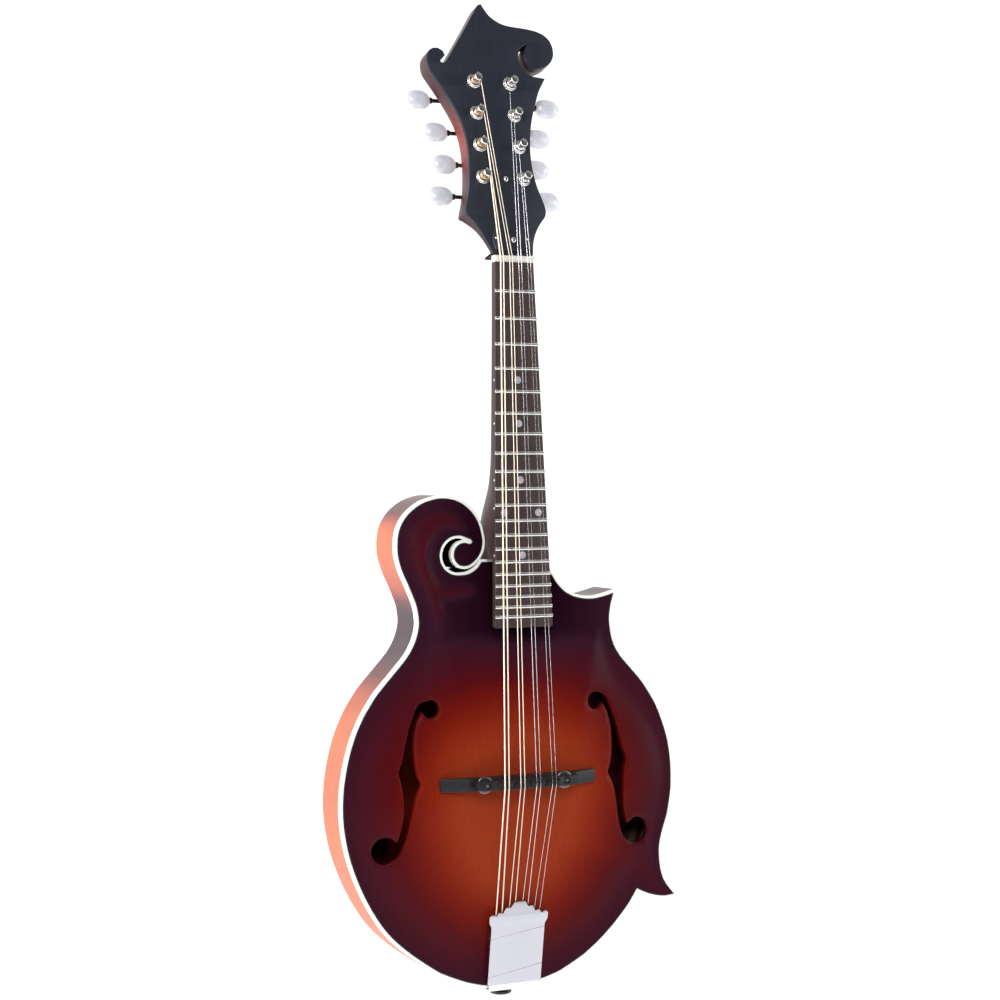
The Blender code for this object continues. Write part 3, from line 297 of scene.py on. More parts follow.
SPRUCE = burst_wood("spruce_sunburst", TOP_BURST, (6, 0.25, 6), shine=0.06)
BACK_MAPLE = burst_wood("maple_back", TOP_BURST, (2, 0.5, 2), 0.35, shine=0.2)
SIDE_MAPLE = burst_wood("maple_sides", SIDE_BURST, (0.6, 0.6, 5), 0.16)
NECK_MAPLE = burst_wood("maple_neck", NECK_BURST, (5, 5, 0.3), 0.12, 0.42)
# Bare wood for the inside of the body: its own colour, painted much darker as painted shade inside the body.
RAW_WOOD_IN_PAINTED_SHADE = plain_wood("raw_wood", (0.10, 0.052, 0.03), (0.17, 0.10, 0.055), (5, 5, 0.4), 0.7)
ROSEWOOD = plain_wood("rosewood", (0.012, 0.006, 0.006), (0.062, 0.026, 0.020), (7, 0.35, 7), 0.55)
EBONY = plain_wood("ebony", (0.008, 0.007, 0.009), (0.020, 0.018, 0.022), (0.4, 5, 5), 0.42, 0.05, shine=0.3)
VENEER = plain_wood("peghead_veneer", (0.006, 0.009, 0.020), (0.011, 0.015, 0.030), (5, 0.4, 5), 0.40, 0.03)
SUPPORT = plain_wood("support_wood", (0.014, 0.006, 0.010), (0.030, 0.009, 0.014), (5, 0.4, 5), 0.4, 0.03)
IVORY = plastic("ivory_binding", (0.95, 0.93, 0.85), (0.98, 0.97, 0.92), 0.3, 30, Subsurface_Weight=0.1)
# Black purfling; the same black also fills the screws' recesses as painted shade.
BLACK_LINE_AND_SLOT_SHADE = plastic("black_purfling_and_slot_shade", (0.006, 0.005, 0.006), (0.012, 0.010, 0.012), 0.4)
BONE = plastic("bone", (0.70, 0.66, 0.58), (0.80, 0.77, 0.70), 0.32, 90, Subsurface_Weight=0.1)
BLACK_PLASTIC = plastic("black_plastic", (0.006, 0.006, 0.007), (0.012, 0.012, 0.013), 0.18, 60)
ROD_COVER = plastic("rod_cover_black", (0.006, 0.008, 0.015), (0.010, 0.013, 0.022), 0.36, 60)
DOT_PEARL = plastic("dot_pearl", (0.30, 0.29, 0.35), (0.52, 0.49, 0.56), 0.2, 350)
PEARL = pearl("pearl_plastic")
CHROME = engraved_chrome("engraved_chrome")
NICKEL = metal("nickel", (0.86, 0.85, 0.83), 0.1)
FRET_WIRE = metal("fret_nickel", (0.84, 0.84, 0.83), 0.22)
DARK_NICKEL = metal("aged_nickel", (0.17, 0.15, 0.15), 0.3)
SHAFT_METAL = metal("dark_bronze", (0.05, 0.035, 0.03), 0.35)
STEEL = metal("steel", (0.50, 0.50, 0.51), 0.32)
BRASS = metal("brass", (0.80, 0.60, 0.28), 0.25)
BRONZE_WIRE = wound("bronze_wire")
PLAIN_WIRE = metal("plain_wire", (0.80, 0.80, 0.83), 0.2)
COIL_BRONZE = metal("coil_bronze", (0.86, 0.62, 0.40), 0.26)

SLOTS = {material.name: slot for slot, group in (
    ("top_wood", [SPRUCE]), ("maple", [BACK_MAPLE, SIDE_MAPLE, NECK_MAPLE]), ("rosewood", [ROSEWOOD]),
    ("ebony", [EBONY]), ("peghead_veneer", [VENEER, SUPPORT]), ("binding", [IVORY]), ("bone", [BONE]),
    ("black_plastic", [BLACK_LINE_AND_SLOT_SHADE, BLACK_PLASTIC, ROD_COVER]), ("pearl_plastic", [PEARL, DOT_PEARL]),
    ("chrome", [CHROME]), ("nickel", [NICKEL, FRET_WIRE, DARK_NICKEL, SHAFT_METAL]),
    ("bronze_wire", [BRONZE_WIRE, COIL_BRONZE]), ("steel_wire", [PLAIN_WIRE])) for material in group}


# Curves and distances

def spline(points, step):
    """Points along a Catmull-Rom curve through the given ones, about one step apart, with both ends."""
    spots = [Vector(p) for p in points]
    found = []
    for i in range(len(spots) - 1):
        a, b, c, d = (spots[min(max(k, 0), len(spots) - 1)] for k in range(i - 1, i + 3))
        pieces = max(1, round((c - b).length / step))
        for k in range(pieces):
            t = k / pieces
            middle = 2 * b + (c - a) * t + (2 * a - 5 * b + 4 * c - d) * t * t
            found.append((middle + (3 * b - a - 3 * c + d) * t ** 3) / 2)
    return found + [spots[-1]]


def rounded(points, step=2.0, corner=38.0):
    """A closed curve through an outline's points. Corners sharper than the given degrees stay, and so do
    straight runs much longer than their neighbours."""
    spots = [Vector(p) for p in points]
    count = len(spots)
    runs = [spots[(i + 1) % count] - spots[i] for i in range(count)]
    sharp = [runs[i - 1].angle(runs[i]) > math.radians(corner) for i in range(count)]
    slopes = []
    for i in range(count):
        before, after = runs[i - 1], runs[i]
        slopes.append((before * before.length ** 2 + after * after.length ** 2).normalized())
    found = []
    for i in range(count):
        b, c, length = spots[i], spots[(i + 1) % count], runs[i].length
        straight = runs[i].normalized()
        leave = straight if sharp[i] else slopes[i]
        arrive = straight if sharp[(i + 1) % count] else slopes[(i + 1) % count]
        pieces = max(1, round(length / step))
        for k in range(pieces):
            t = k / pieces
            spot = b * (2 * t ** 3 - 3 * t * t + 1) + c * (3 * t * t - 2 * t ** 3)
            spot += (leave * (t ** 3 - 2 * t * t + t) + arrive * (t ** 3 - t * t)) * length
            found.append((spot.x, spot.y))
    return found


def edge_gap(points, outline, stretch=1.0):
    """Each point's distance to a closed outline, with lengths along the body scaled by stretch."""
    scale = np.array([1.0, stretch])
    start = np.asarray(outline, float) * scale
    run = np.roll(start, -1, axis=0) - start
    size = np.maximum((run * run).sum(-1), 1e-9)
    found = []
    for batch in np.array_split(np.asarray(points, float) * scale, max(1, len(points) // 800)):
        offset = batch[:, None, :] - start
        along = np.clip((offset * run).sum(-1) / size, 0, 1)
        found.append(np.sqrt(((offset - along[..., None] * run) ** 2).sum(-1)).min(axis=1))
    return np.concatenate(found)


def inside(points, outline):
    x, z = np.asarray(points, float).T
    found = np.zeros(len(x), bool)
    for (ax, az), (bx, bz) in zip(outline, outline[1:] + outline[:1]):
        crosses = (az > z) != (bz > z)
        found ^= crosses & (x < (bx - ax) * (z - az) / ((bz - az) or 1.0) + ax)
    return found


def moved(outline, distance):
    """A counter-clockwise outline moved outwards, or inwards when the distance is negative."""
    points = np.asarray(outline, float)
    before = points - np.roll(points, 1, axis=0)
    after = np.roll(points, -1, axis=0) - points
    before /= np.linalg.norm(before, axis=1)[:, None]
    after /= np.linalg.norm(after, axis=1)[:, None]
    right_before = np.stack([before[:, 1], -before[:, 0]], 1)
    right_after = np.stack([after[:, 1], -after[:, 0]], 1)
    mitre = right_before + right_after
    mitre /= np.maximum(1 + (right_before * right_after).sum(1), 0.25)[:, None]
    shifted_points = points + mitre * distance
    keep = edge_gap(shifted_points, outline) > abs(distance) * 0.97 - 1e-6
    return [tuple(p) for p in shifted_points[keep]]


def turned_left(outline):
    """The outline in counter-clockwise order."""
    area = sum(a[0] * b[1] - b[0] * a[1] for a, b in zip(outline, outline[1:] + outline[:1]))
    return outline[::-1] if area < 0 else outline


def circle(x, y, radius, count=24):
    return [(x + radius * math.cos(2 * math.pi * i / count), y + radius * math.sin(2 * math.pi * i / count))
            for i in range(count)]


def node_loops(node, place, facing=1):
    """The outlines of a node's face that looks along the frame's third axis, longest first."""
    bm = bmesh.new()
    bm.from_mesh(NODES[node].data)
    bm.transform(place.inverted())
    bmesh.ops.remove_doubles(bm, verts=bm.verts, dist=2e-6)
    bm.normal_update()
    seen = {f for f in bm.faces if f.normal.z * facing > 0.5}
    following = {}
    for face in seen:
        for corner in face.loops:
            if not any(f in seen for f in corner.edge.link_faces if f is not face):
                following[corner.vert] = corner.link_loop_next.vert
    loops = []
    while following:
        here = next(iter(following))
        line = []
        while here in following:
            line.append((here.co.x / MM, here.co.y / MM))
            here = following.pop(here)
        loops.append(line)
    bm.free()
    loops.sort(key=lambda line: -sum(math.dist(a, b) for a, b in zip(line, line[1:])))
    return [turned_left(line) for line in loops]


# Mesh building

def linked(name, data):
    """A new object in the scene."""
    obj = bpy.data.objects.new(name, data)
    bpy.context.scene.collection.objects.link(obj)
    return obj


def evaluated(obj):
    return bpy.data.meshes.new_from_object(obj.evaluated_get(bpy.context.evaluated_depsgraph_get()))


def meshed(name, bm):
    mesh = bpy.data.meshes.new(name)
    bm.to_mesh(mesh)
    bm.free()
    return mesh


def ring(radii, height):
    """A level loop round the third axis, with a radius for each of its evenly spaced points."""
    angles = [2 * math.pi * i / len(radii) for i in range(len(radii))]
    return [(r * math.cos(a), r * math.sin(a), height) for r, a in zip(radii, angles)]


def skin(bm, sections, place=WORLD, capped=True, around=False):
    """Joins closed sections of equal length with quads. The row of them may close on itself too."""
    rings = [[bm.verts.new(place @ (Vector(p) * MM)) for p in section] for section in sections]
    count = len(sections[0])
    for low, high in zip(rings, rings[1:] + (rings[:1] if around else [])):
        for i in range(count):
            bm.faces.new((low[i], low[(i + 1) % count], high[(i + 1) % count], high[i]))
    if capped and not around:
        bm.faces.new(rings[0])
        bm.faces.new(rings[-1])
    return bm


def lathe(bm, profile, sides=32, place=WORLD):
    """Turns (radius, height) pairs round the frame's third axis."""
    return skin(bm, [ring([radius] * sides, height) for radius, height in profile], place, capped=False)


def flat(loops, low, high, bevel=0.0, place=WORLD, bm=None):
    """A filled outline with holes between two heights, with its edges rounded by the bevel."""
    curve = bpy.data.curves.new("flat", "CURVE")
    curve.dimensions = "2D"
    curve.fill_mode = "BOTH"
    curve.extrude = ((high - low) / 2 - bevel) * MM
    curve.bevel_depth = bevel * MM
    curve.bevel_resolution = 2
    curve.offset = -bevel * MM
    for loop in loops:
        line = curve.splines.new("POLY")
        line.points.add(len(loop) - 1)
        line.use_cyclic_u = True
        for point, (x, y) in zip(line.points, loop):
            point.co = (x * MM, y * MM, 0, 1)
    guide = linked("flat_guide", curve)
    mesh = evaluated(guide)
    bpy.data.objects.remove(guide)
    mesh.transform(shifted(place, 0, 0, (low + high) / 2))
    bm = bm or bmesh.new()
    bm.from_mesh(mesh)
    bpy.data.meshes.remove(mesh)
    return bm


def block(bm, low, high, place=WORLD, bevel=0.3):
    """A box between two corners with softened edges."""
    made = bmesh.ops.create_cube(bm, size=1.0)["verts"]
    size = (Vector(high) - Vector(low)) * MM
    centre = (Vector(high) + Vector(low)) / 2 * MM
    shape = place @ Matrix.Translation(centre) @ Matrix.Diagonal((*size, 1))
    bmesh.ops.transform(bm, matrix=shape, verts=made)
    edges = list({e for v in made for e in v.link_edges})
    if bevel:
        bmesh.ops.bevel(bm, geom=edges, offset=bevel * MM, segments=2, affect="EDGES", profile=0.5)
    return bm


def tube(bm, points, radius, sides=10):
    """A round wire through world points in millimetres, closed at both ends."""
    spots = [Vector(p) for p in points]
    normal = None
    sections = []
    for i, spot in enumerate(spots):
        run = (spots[min(i + 1, len(spots) - 1)] - spots[max(i - 1, 0)]).normalized()
        if normal is None:
            normal = run.orthogonal().normalized()
        normal = (normal - run * normal.dot(run)).normalized()
        side = run.cross(normal)
        sections.append([spot + (normal * math.cos(a) + side * math.sin(a)) * radius
                         for a in (2 * math.pi * k / sides for k in range(sides))])
    return skin(bm, sections)


def piece(name, bm, place, material, body="instrument", replaced="", angle=35, burst=None, bend=None):
    """Finishes a mesh as a visible piece of a body."""
    bmesh.ops.remove_doubles(bm, verts=bm.verts, dist=2e-7)
    bmesh.ops.dissolve_degenerate(bm, edges=bm.edges, dist=1e-7)
    bmesh.ops.recalc_face_normals(bm, faces=bm.faces)
    mesh = meshed(name, bm)
    mesh.shade_smooth()
    mesh.set_sharp_from_angle(angle=math.radians(angle))
    mesh.materials.append(material)
    if burst:
        spots = np.zeros(len(mesh.vertices) * 3)
        mesh.vertices.foreach_get("co", spots)
        layer = mesh.attributes.new("burst", "FLOAT", "POINT")
        layer.data.foreach_set("value", np.asarray(burst(spots.reshape(-1, 3) / MM), np.float32))
    obj = linked(name, mesh)
    obj.matrix_world = place
    if bend:
        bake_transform(obj)
    else:
        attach(obj, body)
    if replaced:
        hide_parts(replaced)
    return obj


def take_away(obj, bm):
    """Cuts a mesh, given in the piece's own frame, out of the piece."""
    cutter = linked("cutter", meshed("cutter", bm))
    cutter.matrix_world = obj.matrix_world
    modifier = obj.modifiers.new("cut", "BOOLEAN")
    modifier.operation = "DIFFERENCE"
    modifier.object = cutter
    modifier.solver = "EXACT"
    modifier.use_self = True
    made = evaluated(obj)
    obj.modifiers.clear()
    obj.data = made
    bpy.data.objects.remove(cutter)
    made.shade_smooth()
    made.set_sharp_from_angle(angle=math.radians(35))


def drill(obj, spots, radius, depth):
    """Makes round holes in a piece: each spot is a frame whose third axis runs along the hole."""
    bm = bmesh.new()
    for spot in spots:
        bmesh.ops.create_cone(bm, cap_ends=True, segments=24, radius1=radius * MM, radius2=radius * MM,
                              depth=depth * MM, matrix=obj.matrix_world.inverted() @ spot)
    take_away(obj, bm)


def dressed(node, material, bevel):
    """A CAD node drawn again with softened edges."""
    bm = bmesh.new()
    bm.from_mesh(NODES[node].data)
    bmesh.ops.remove_doubles(bm, verts=bm.verts, dist=2e-6)
    bmesh.ops.dissolve_limit(bm, angle_limit=math.radians(2), verts=bm.verts, edges=bm.edges)
    edges = [e for e in bm.edges if len(e.link_faces) == 2 and e.calc_face_angle() > math.radians(30)]
    bmesh.ops.bevel(bm, geom=edges, offset=bevel * MM, segments=2, affect="EDGES", profile=0.5,
                    clamp_overlap=True)
    return piece(node + "_form", bm, WORLD, material, replaced=node)


def screw_head(bm, place, radius, height=0.9, turn=0.4):
    """A domed head standing on the frame's origin. It gives back the frame, turned, for the cross-shaped
    slot, which is drawn apart from it as painted shade.
    """
    lathe(bm, [(0, height), (radius * 0.45, height * 0.96), (radius * 0.8, height * 0.7),
               (radius, height * 0.25), (radius, -0.6), (0, -0.6)], 24, place)
    return place @ Matrix.Rotation(turn, 4, "Z")


def cross_slot_shade(bm, place, radius, height):
    """The recess of a cross-head screw, drawn as a small black cross: painted shade."""
    for x, y in ((radius * 0.6, 0.16), (0.16, radius * 0.6)):
        block(bm, (-x, -y, height * 0.7), (x, y, height * 1.01), place, 0.03)


def screws(name, height, spots):
    """Cross-head screws at (frame, radius, turn) spots. The name's {} tells heads and the black crosses of
    painted shade in their recesses apart.
    """
    # marks holds the black crosses of painted shade in the recesses.
    heads, marks = bmesh.new(), bmesh.new()
    for spot, radius, turn in spots:
        cross_slot_shade(marks, screw_head(heads, spot, radius, height, turn), radius, height)
    piece(name.format("screws"), heads, WORLD, NICKEL)
    piece(name.format("screw_slot_shades"), marks, WORLD, BLACK_LINE_AND_SLOT_SHADE)


def paint(node, material):
    NODES[node].data.materials.clear()
    NODES[node].data.materials.append(material)


def smoothstep(value, start, end):
    t = np.clip((np.asarray(value, float) - start) / (end - start), 0, 1)
    return t * t * (3 - 2 * t)


# Body

BINDING_LOOPS = node_loops("top_binding", BODY)
EDGE = rounded(BINDING_LOOPS[0])
OUTLINE = rounded(BINDING_LOOPS[1])
OUTER_SHORE = [p for p in OUTLINE if math.dist(p, SLOT_CENTRE) > SLOT_REACH]


def arch(points, rise):
    """How far a carved plate stands above its edge."""
    gap = edge_gap(points, OUTLINE, ARCH_STRETCH)
    swell = 1 - np.exp(-((gap / ARCH_LENGTH) ** ARCH_POWER))
    dip = RECURVE_DEPTH * np.exp(-(((gap - 7) / 5) ** 2))
    return (rise * swell - dip) * np.clip(gap / 4, 0, 1)


def scroll_ridge(points):
    """The soft ridge that runs from the waist round the scroll, a little inside its outer edge."""
    x, z = np.asarray(points, float).T
    shore = edge_gap(points, OUTER_SHORE)
    near = smoothstep(z, 236, 268) * smoothstep(-x, 22, 34) * smoothstep(edge_gap(points, OUTLINE), 1.5, 7)
    return 1.5 * np.exp(-(((shore - 13.5) / 3.8) ** 2)) * near


def top_height(points):
    return HALF_DEPTH + arch(points, TOP_RISE) + scroll_ridge(points)


def back_height(points):
    return HALF_DEPTH + arch(points, BACK_RISE) + scroll_ridge(points)


def body_burst(points):
    """How bright the stain is: 1 in the middle of the lower body, low at the edges, 0 by the fingerboard, and
    raised along the scroll ridge as a painted highlight.
    """
    flat_points = points[:, :2]
    z = flat_points[:, 1]
    sideways = edge_gap(flat_points, OUTLINE, 1.2) / 80
    upward = np.clip((243 - z) / 72, 0, 1.4)
    low = np.minimum(sideways, upward)
    joined = np.clip(low - 0.12 * np.exp(-(np.abs(sideways - upward) / 0.2)), 0, 1)
    shade = np.exp(-(((flat_points[:, 0] - 10) / 60) ** 2)) * smoothstep(z, 200, 236)
    # Painted highlight: the stain is made brighter along the scroll ridge, where light catches the carving.
    edge = 0.17 + 0.14 * scroll_ridge(flat_points)
    return np.clip(edge + 0.83 * joined - 0.17 * shade, 0, 1)


def side_burst(points):
    """The sides are bright but for dark bands at the waist, round the scroll's top and on the points. Inside
    the scroll slot they are painted near black with no gloss, as painted shade.
    """
    x, z = points[:, 0], points[:, 1]
    # Painted shade: the sides inside the scroll slot are set to 0, near black and without gloss.
    painted_slot_shade = np.hypot(x - SLOT_CENTRE[0], z - SLOT_CENTRE[1]) < SLOT_REACH + 3
    waist = np.exp(-(((z - 246) / 24) ** 2)) + 0.45 * np.exp(-(((z - 216) / 20) ** 2)) * (x < 0)
    crown = smoothstep(z, 308, 328)
    tips = smoothstep(x + 0.6 * np.abs(z - 62), 104, 124) * (z < 100) * (x > 0)
    cutaway = 0.35 * (x > 40) * smoothstep(z, 236, 246)
    return np.clip(1 - waist - crown * 0.72 - 0.5 * tips - cutaway, 0.12, 1) * ~painted_slot_shade


def carved_plate(name, node, holes, height, thickness, facing, material):
    """A carved plate on a fine triangle grid, with chamfered sound holes."""
    outline = moved(OUTLINE, -0.45)
    rims = [moved(hole, 0.45) for hole in holes]
    loops = [outline, moved(outline, -1.2)] + holes + rims
    spacing = 3.6
    low, high = np.min(outline, axis=0), np.max(outline, axis=0)
    grid = np.array([(x + spacing / 2 * (k % 2), z)
                     for k, z in enumerate(np.arange(low[1], high[1], spacing * 0.87))
                     for x in np.arange(low[0], high[0], spacing)])
    clear = inside(grid, outline) & (edge_gap(grid, outline) > 2.6)
    for rim in rims:
        clear &= ~inside(grid, rim) & (edge_gap(grid, rim) > 1.4)
    spots, edges = [], []
    for loop in loops:
        first = len(spots)
        spots += [tuple(p) for p in loop]
        edges += [(first + i, first + (i + 1) % len(loop)) for i in range(len(loop))]
    spots += [tuple(p) for p in grid[clear]]
    points, _, faces, *_ = delaunay_2d_cdt([Vector(p) for p in spots], edges, [], 0, 1e-4)
    points = np.array([tuple(p) for p in points])
    faces = [face for face in faces if len(face) == 3]
    centres = np.array([points[list(face)].mean(axis=0) for face in faces])
    solid = inside(centres, outline)
    outer = height(points)
    for hole in holes:
        solid &= ~inside(centres, hole)
        outer -= 0.4 * (edge_gap(points, hole) < 0.05)
    bm = bmesh.new()
    fronts, backs = ([bm.verts.new((x * MM, z * MM, facing * (h - depth) * MM))
                      for (x, z), h in zip(points, outer)] for depth in (0, thickness))
    border = {}
    for face, keep in zip(faces, solid):
        if not keep:
            continue
        bm.faces.new([fronts[i] for i in face])
        bm.faces.new([backs[i] for i in reversed(face)])
        for a, b in zip(face, face[1:] + face[:1]):
            if border.pop((b, a), None) is None:
                border[a, b] = True
    for a, b in border:
        bm.faces.new((fronts[a], backs[a], backs[b], fronts[b]))
    bmesh.ops.delete(bm, geom=[v for v in bm.verts if not v.link_faces], context="VERTS")
    return piece(name, bm, BODY, material, replaced=node, burst=body_burst, angle=50)


def make_body():
    holes = [rounded(line, 1.2) for line in node_loops("top_plate", BODY)[1:3]]
    carved_plate("carved_top", "top_plate", holes, top_height, 4.0, 1, SPRUCE)
    carved_plate("carved_back", "back_plate", [], back_height, 4.0, -1, BACK_MAPLE)

    rim_top = HALF_DEPTH - BINDING_HEIGHT
    piece("body_sides", flat([EDGE, moved(EDGE, -2.4)], -rim_top, rim_top), BODY, SIDE_MAPLE,
          replaced="rim", burst=side_burst)
    for side, low, high in (("top", rim_top, HALF_DEPTH + 0.05), ("back", -HALF_DEPTH - 0.05, -rim_top)):
        piece(side + "_binding_strip", flat([moved(EDGE, 0.12), OUTLINE], low, high, 0.35), BODY, IVORY,
              replaced=side + "_binding")
    for side, width, low, high in (("top", 0.75, HALF_DEPTH - 1.5, HALF_DEPTH + 0.1),
                                   ("back", 0.5, -HALF_DEPTH - 0.08, -HALF_DEPTH + 1.5)):
        piece(side + "_purfling", flat([OUTLINE, moved(OUTLINE, -width)], low, high), BODY, BLACK_LINE_AND_SLOT_SHADE)
    # The inside pieces get the darkened bare wood: painted shade.
    for name in NODES:
        if name.endswith("_block") or "_lining_" in name or name.startswith("tone_bar"):
            paint(name, RAW_WOOD_IN_PAINTED_SHADE)


# Neck and fingerboard

def board_y(z):
    return NUT_Y - (NUT_Z - z) * math.tan(NECK_TILT)


def fret_place(number):
    return SCALE_LENGTH * (1 - 2 ** (-number / 12))


def board_half(distance):
    grow = (BOARD_WIDTH_LAST - BOARD_WIDTH_NUT) / fret_place(FRETS)
    return (BOARD_WIDTH_NUT + grow * distance) / 2


def neck_burst(points):
    z = points[:, 2]
    return np.clip(0.14 + 0.2 * smoothstep(z, 330, 430) * smoothstep(-z, -505, -440), 0, 1)


def peghead_burst(points):
    x, s = points[:, 0], points[:, 1]
    return np.clip(0.16 + 0.8 * np.exp(-(((s - 84) / 26) ** 2)) * (np.abs(x) > 10), 0, 1)


def neck_section(z, depth, power):
    """Flat under the fingerboard and rounded behind, but cut flat at the heel."""
    top = board_y(z) + BOARD_THICKNESS / math.cos(NECK_TILT)
    half = board_half(NUT_Z - z)
    section = []
    for i in range(33):
        angle = math.pi * i / 32
        side = math.copysign(abs(math.cos(angle)) ** (2 / power), math.cos(angle))
        back = top + depth * math.sin(angle) ** (2 / power)
        section.append((half * side, min(back, HALF_DEPTH), z))
    return section


def make_neck():
    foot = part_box("heel_cap")[0].z / MM - 0.3
    stations = [(514.5, 12.4, 1.5), (505, 14.8, 1.5), (470, 15.4, 1.5), (420, 16.0, 1.65), (375, 16.6, 1.9),
                (363, 18.0, 2.1), (354, 23.0, 2.1), (346, 31.5, 2.0), (337, 41.5, 1.9), (324, 50.0, 1.9),
                (312, 54.5, 1.85), (foot, 57.0, 1.85)]
    bm = skin(bmesh.new(), [neck_section(*station) for station in spline(stations, 4)])
    piece("neck_shaft", bm, WORLD, NECK_MAPLE, replaced="neck", burst=neck_burst)
    cap = rounded(node_loops("heel_cap", FRONT, -1)[0], 1.0, 50)
    cap_low, cap_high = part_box("heel_cap")
    piece("heel_cap_form", flat([cap], -cap_high.y / MM, -HALF_DEPTH, 0.4), FRONT, IVORY,
          replaced="heel_cap")


def make_fingerboard():
    end = fret_place(FRETS) + BOARD_TAIL
    corner = 1.2
    half_nut, half_end = board_half(0), board_half(end)
    shape = [(half_nut, 0), (-half_nut, 0), (-half_end, -end + corner), (-half_end + corner, -end),
             (half_end - corner, -end), (half_end, -end + corner)]
    piece("fretboard", flat([shape], -BOARD_THICKNESS, 0, 0.45), NECK, ROSEWOOD, replaced="fingerboard")
    for number in range(1, FRETS + 1):
        s = fret_place(number)
        half = board_half(s) + 0.15
        sections = []
        for x, tall in ((-half, 0.55), (-half + 0.5, 1.0), (half - 0.5, 1.0), (half, 0.55)):
            crown = [(x, -s + 1.15 * math.cos(a), tall * math.sin(a)) for a in np.linspace(0, math.pi, 11)]
            sections.append(crown + [(x, -s - 1.15, -0.3), (x, -s + 1.15, -0.3)])
        piece(f"fret_{number:02d}", skin(bmesh.new(), sections), NECK, FRET_WIRE)

    dots, side_dots = bmesh.new(), bmesh.new()
    for number, spread in ((5, 0), (7, 0), (10, 0), (12, 12.9), (15, 0)):
        s = (fret_place(number - 1) + fret_place(number)) / 2
        for x in {-spread, spread}:
            lathe(dots, [(0, 0.10), (2.1, 0.09), (2.5, 0.04), (2.5, -0.5), (0, -0.5)], 32,
                  shifted(WORLD, x, -s, 0))
        for shift in ((-3.2, 3.2) if number == 12 else (0,)):
            spot = shifted(WORLD, -board_half(s), -s + shift, -1.9) @ Matrix.Rotation(-math.pi / 2, 4, "Y")
            lathe(side_dots, [(0, 0.08), (0.8, 0.05), (0.9, -0.4), (0, -0.4)], 16, spot)
    piece("position_dots", dots, NECK, DOT_PEARL)
    piece("side_dots", side_dots, NECK, BONE)

    nut_block()
    dressed("fingerboard_support", SUPPORT, 0.8)


def nut_block():
    """The nut's side view drawn across, dipped where each string lies."""
    half = 14.9
    grooves = [(c + side * NUT_PAIR, r) for c, r in zip(NUT_COURSES, STRING_RADII) for side in (-1, 1)]
    near = [x + d * r for x, r in grooves for d in (-1.5, -1, 0, 1, 1.5)]
    xs = sorted({-half, half, -half + 0.4, half - 0.4, *near})
    sections = []
    for x in xs:
        sink = sum(0.55 for g, r in grooves if abs(x - g) <= r * 1.01)
        edge = 0.3 if abs(x) > half - 0.1 else 0.0
        line = [(0.0, -BOARD_THICKNESS), (0.0, 0.3 - edge), (0.5, 1.25 - sink - edge),
                (1.6, 1.45 - sink - edge), (3.4, 1.1 - sink - edge), (NUT_LENGTH, 0.4 - sink * 0.6 - edge),
                (NUT_LENGTH, -BOARD_THICKNESS)]
        sections.append([(x, s, h) for s, h in line])
    piece("nut_form", skin(bmesh.new(), sections), NECK, BONE, replaced="nut")


# Peghead and tuners

def post_place(side, row):
    return side * (POST_COLUMN - COLUMN_LEAN * row), POST_ROW + POST_PITCH * row


SIDES = ((-1, "bass"), (1, "treble"))
TUNERS = [(side, row, f"{name}_{row + 1}") for side, name in SIDES for row in range(4)]


def corner_cutter(outline):
    """A wedge along each lower back corner, widest at the nut, so that the peghead runs into the neck."""
    for side in (-1, 1):
        bm = bmesh.new()
        line = [(abs(x), s) for x, s in outline if x * side > 0 and 1.0 < s < CORNER_START]
        line.sort(key=lambda p: p[1])
        line = [(line[0][0], -8.0)] + line
        sections = []
        for x, s in line:
            share = 1 - (max(s, 0) / (CORNER_START + 1)) ** 3
            wide, tall = 8.0 * share, 10.8 * share
            slope = Vector((wide, tall)).normalized()
            section = [(x + slope.x * 3, tall - PEG_THICKNESS + slope.y * 3)]
            for t in np.linspace(0, 1, 7):
                swell = 0.06 * wide * math.sin(math.pi * t)
                section.append((x - wide * t + swell * slope.y,
                                tall * (1 - t) - PEG_THICKNESS - swell * slope.x))
            section += [(x - wide - slope.x * 3, -PEG_THICKNESS - slope.y * 3),
                        (x + slope.x * 3, -PEG_THICKNESS - 6)]
            sections.append([(side * u, s, h) for u, h in section])
        skin(bm, sections)
        bmesh.ops.recalc_face_normals(bm, faces=bm.faces)
        yield bm


def make_peghead():
    outline = rounded(node_loops("peghead_overlay", PEGHEAD)[0], 1.6, 33)
    holes = [circle(*post_place(side, row), 3.6) for side, row, _ in TUNERS]
    piece("peghead_face", flat([outline] + holes, -OVERLAY, 0, 0.4), PEGHEAD, VENEER,
          replaced="peghead_overlay")
    core = piece("peghead_core", flat([outline] + holes, -PEG_THICKNESS, -OVERLAY, 0.9), PEGHEAD, NECK_MAPLE,
                 burst=peghead_burst)
    for wedge in corner_cutter(outline):
        take_away(core, wedge)
    shape = rounded(node_loops("truss_rod_cover", PEGHEAD)[0], 1.0, 45)
    piece("rod_cover_form", flat([shape], 0.1, 2.0, 0.7), PEGHEAD, ROD_COVER, replaced="truss_rod_cover")
    spots = ((0.8, 55.5, 1.9), (1.0, 11.0, 1.9), (-12.0, 12.0, 1.0), (12.0, 12.0, 1.0))
    screws("rod_cover_{}", 0.9, [(shifted(PEGHEAD, x, s, 1.7), radius, 0.3 + x) for x, s, radius in spots])
    paint("truss_rod", STEEL)
    paint("truss_rod_nut", BRASS)


def toothed(bm, place, half):
    """A gear rim with square-shouldered teeth, one gap of which faces the worm."""
    line = []
    for tooth in range(GEAR_TEETH):
        for step, radius in ((-0.36, 5.1), (-0.27, 5.3), (-0.13, 6.1), (0.13, 6.1), (0.27, 5.3), (0.36, 5.1)):
            angle = -math.pi / 2 + 2 * math.pi * (tooth + 0.5 + step) / GEAR_TEETH
            line.append((radius * math.cos(angle), radius * math.sin(angle)))
    return flat([line, circle(0, 0, 2.6, 24)], -half, half, 0.12, place, bm)


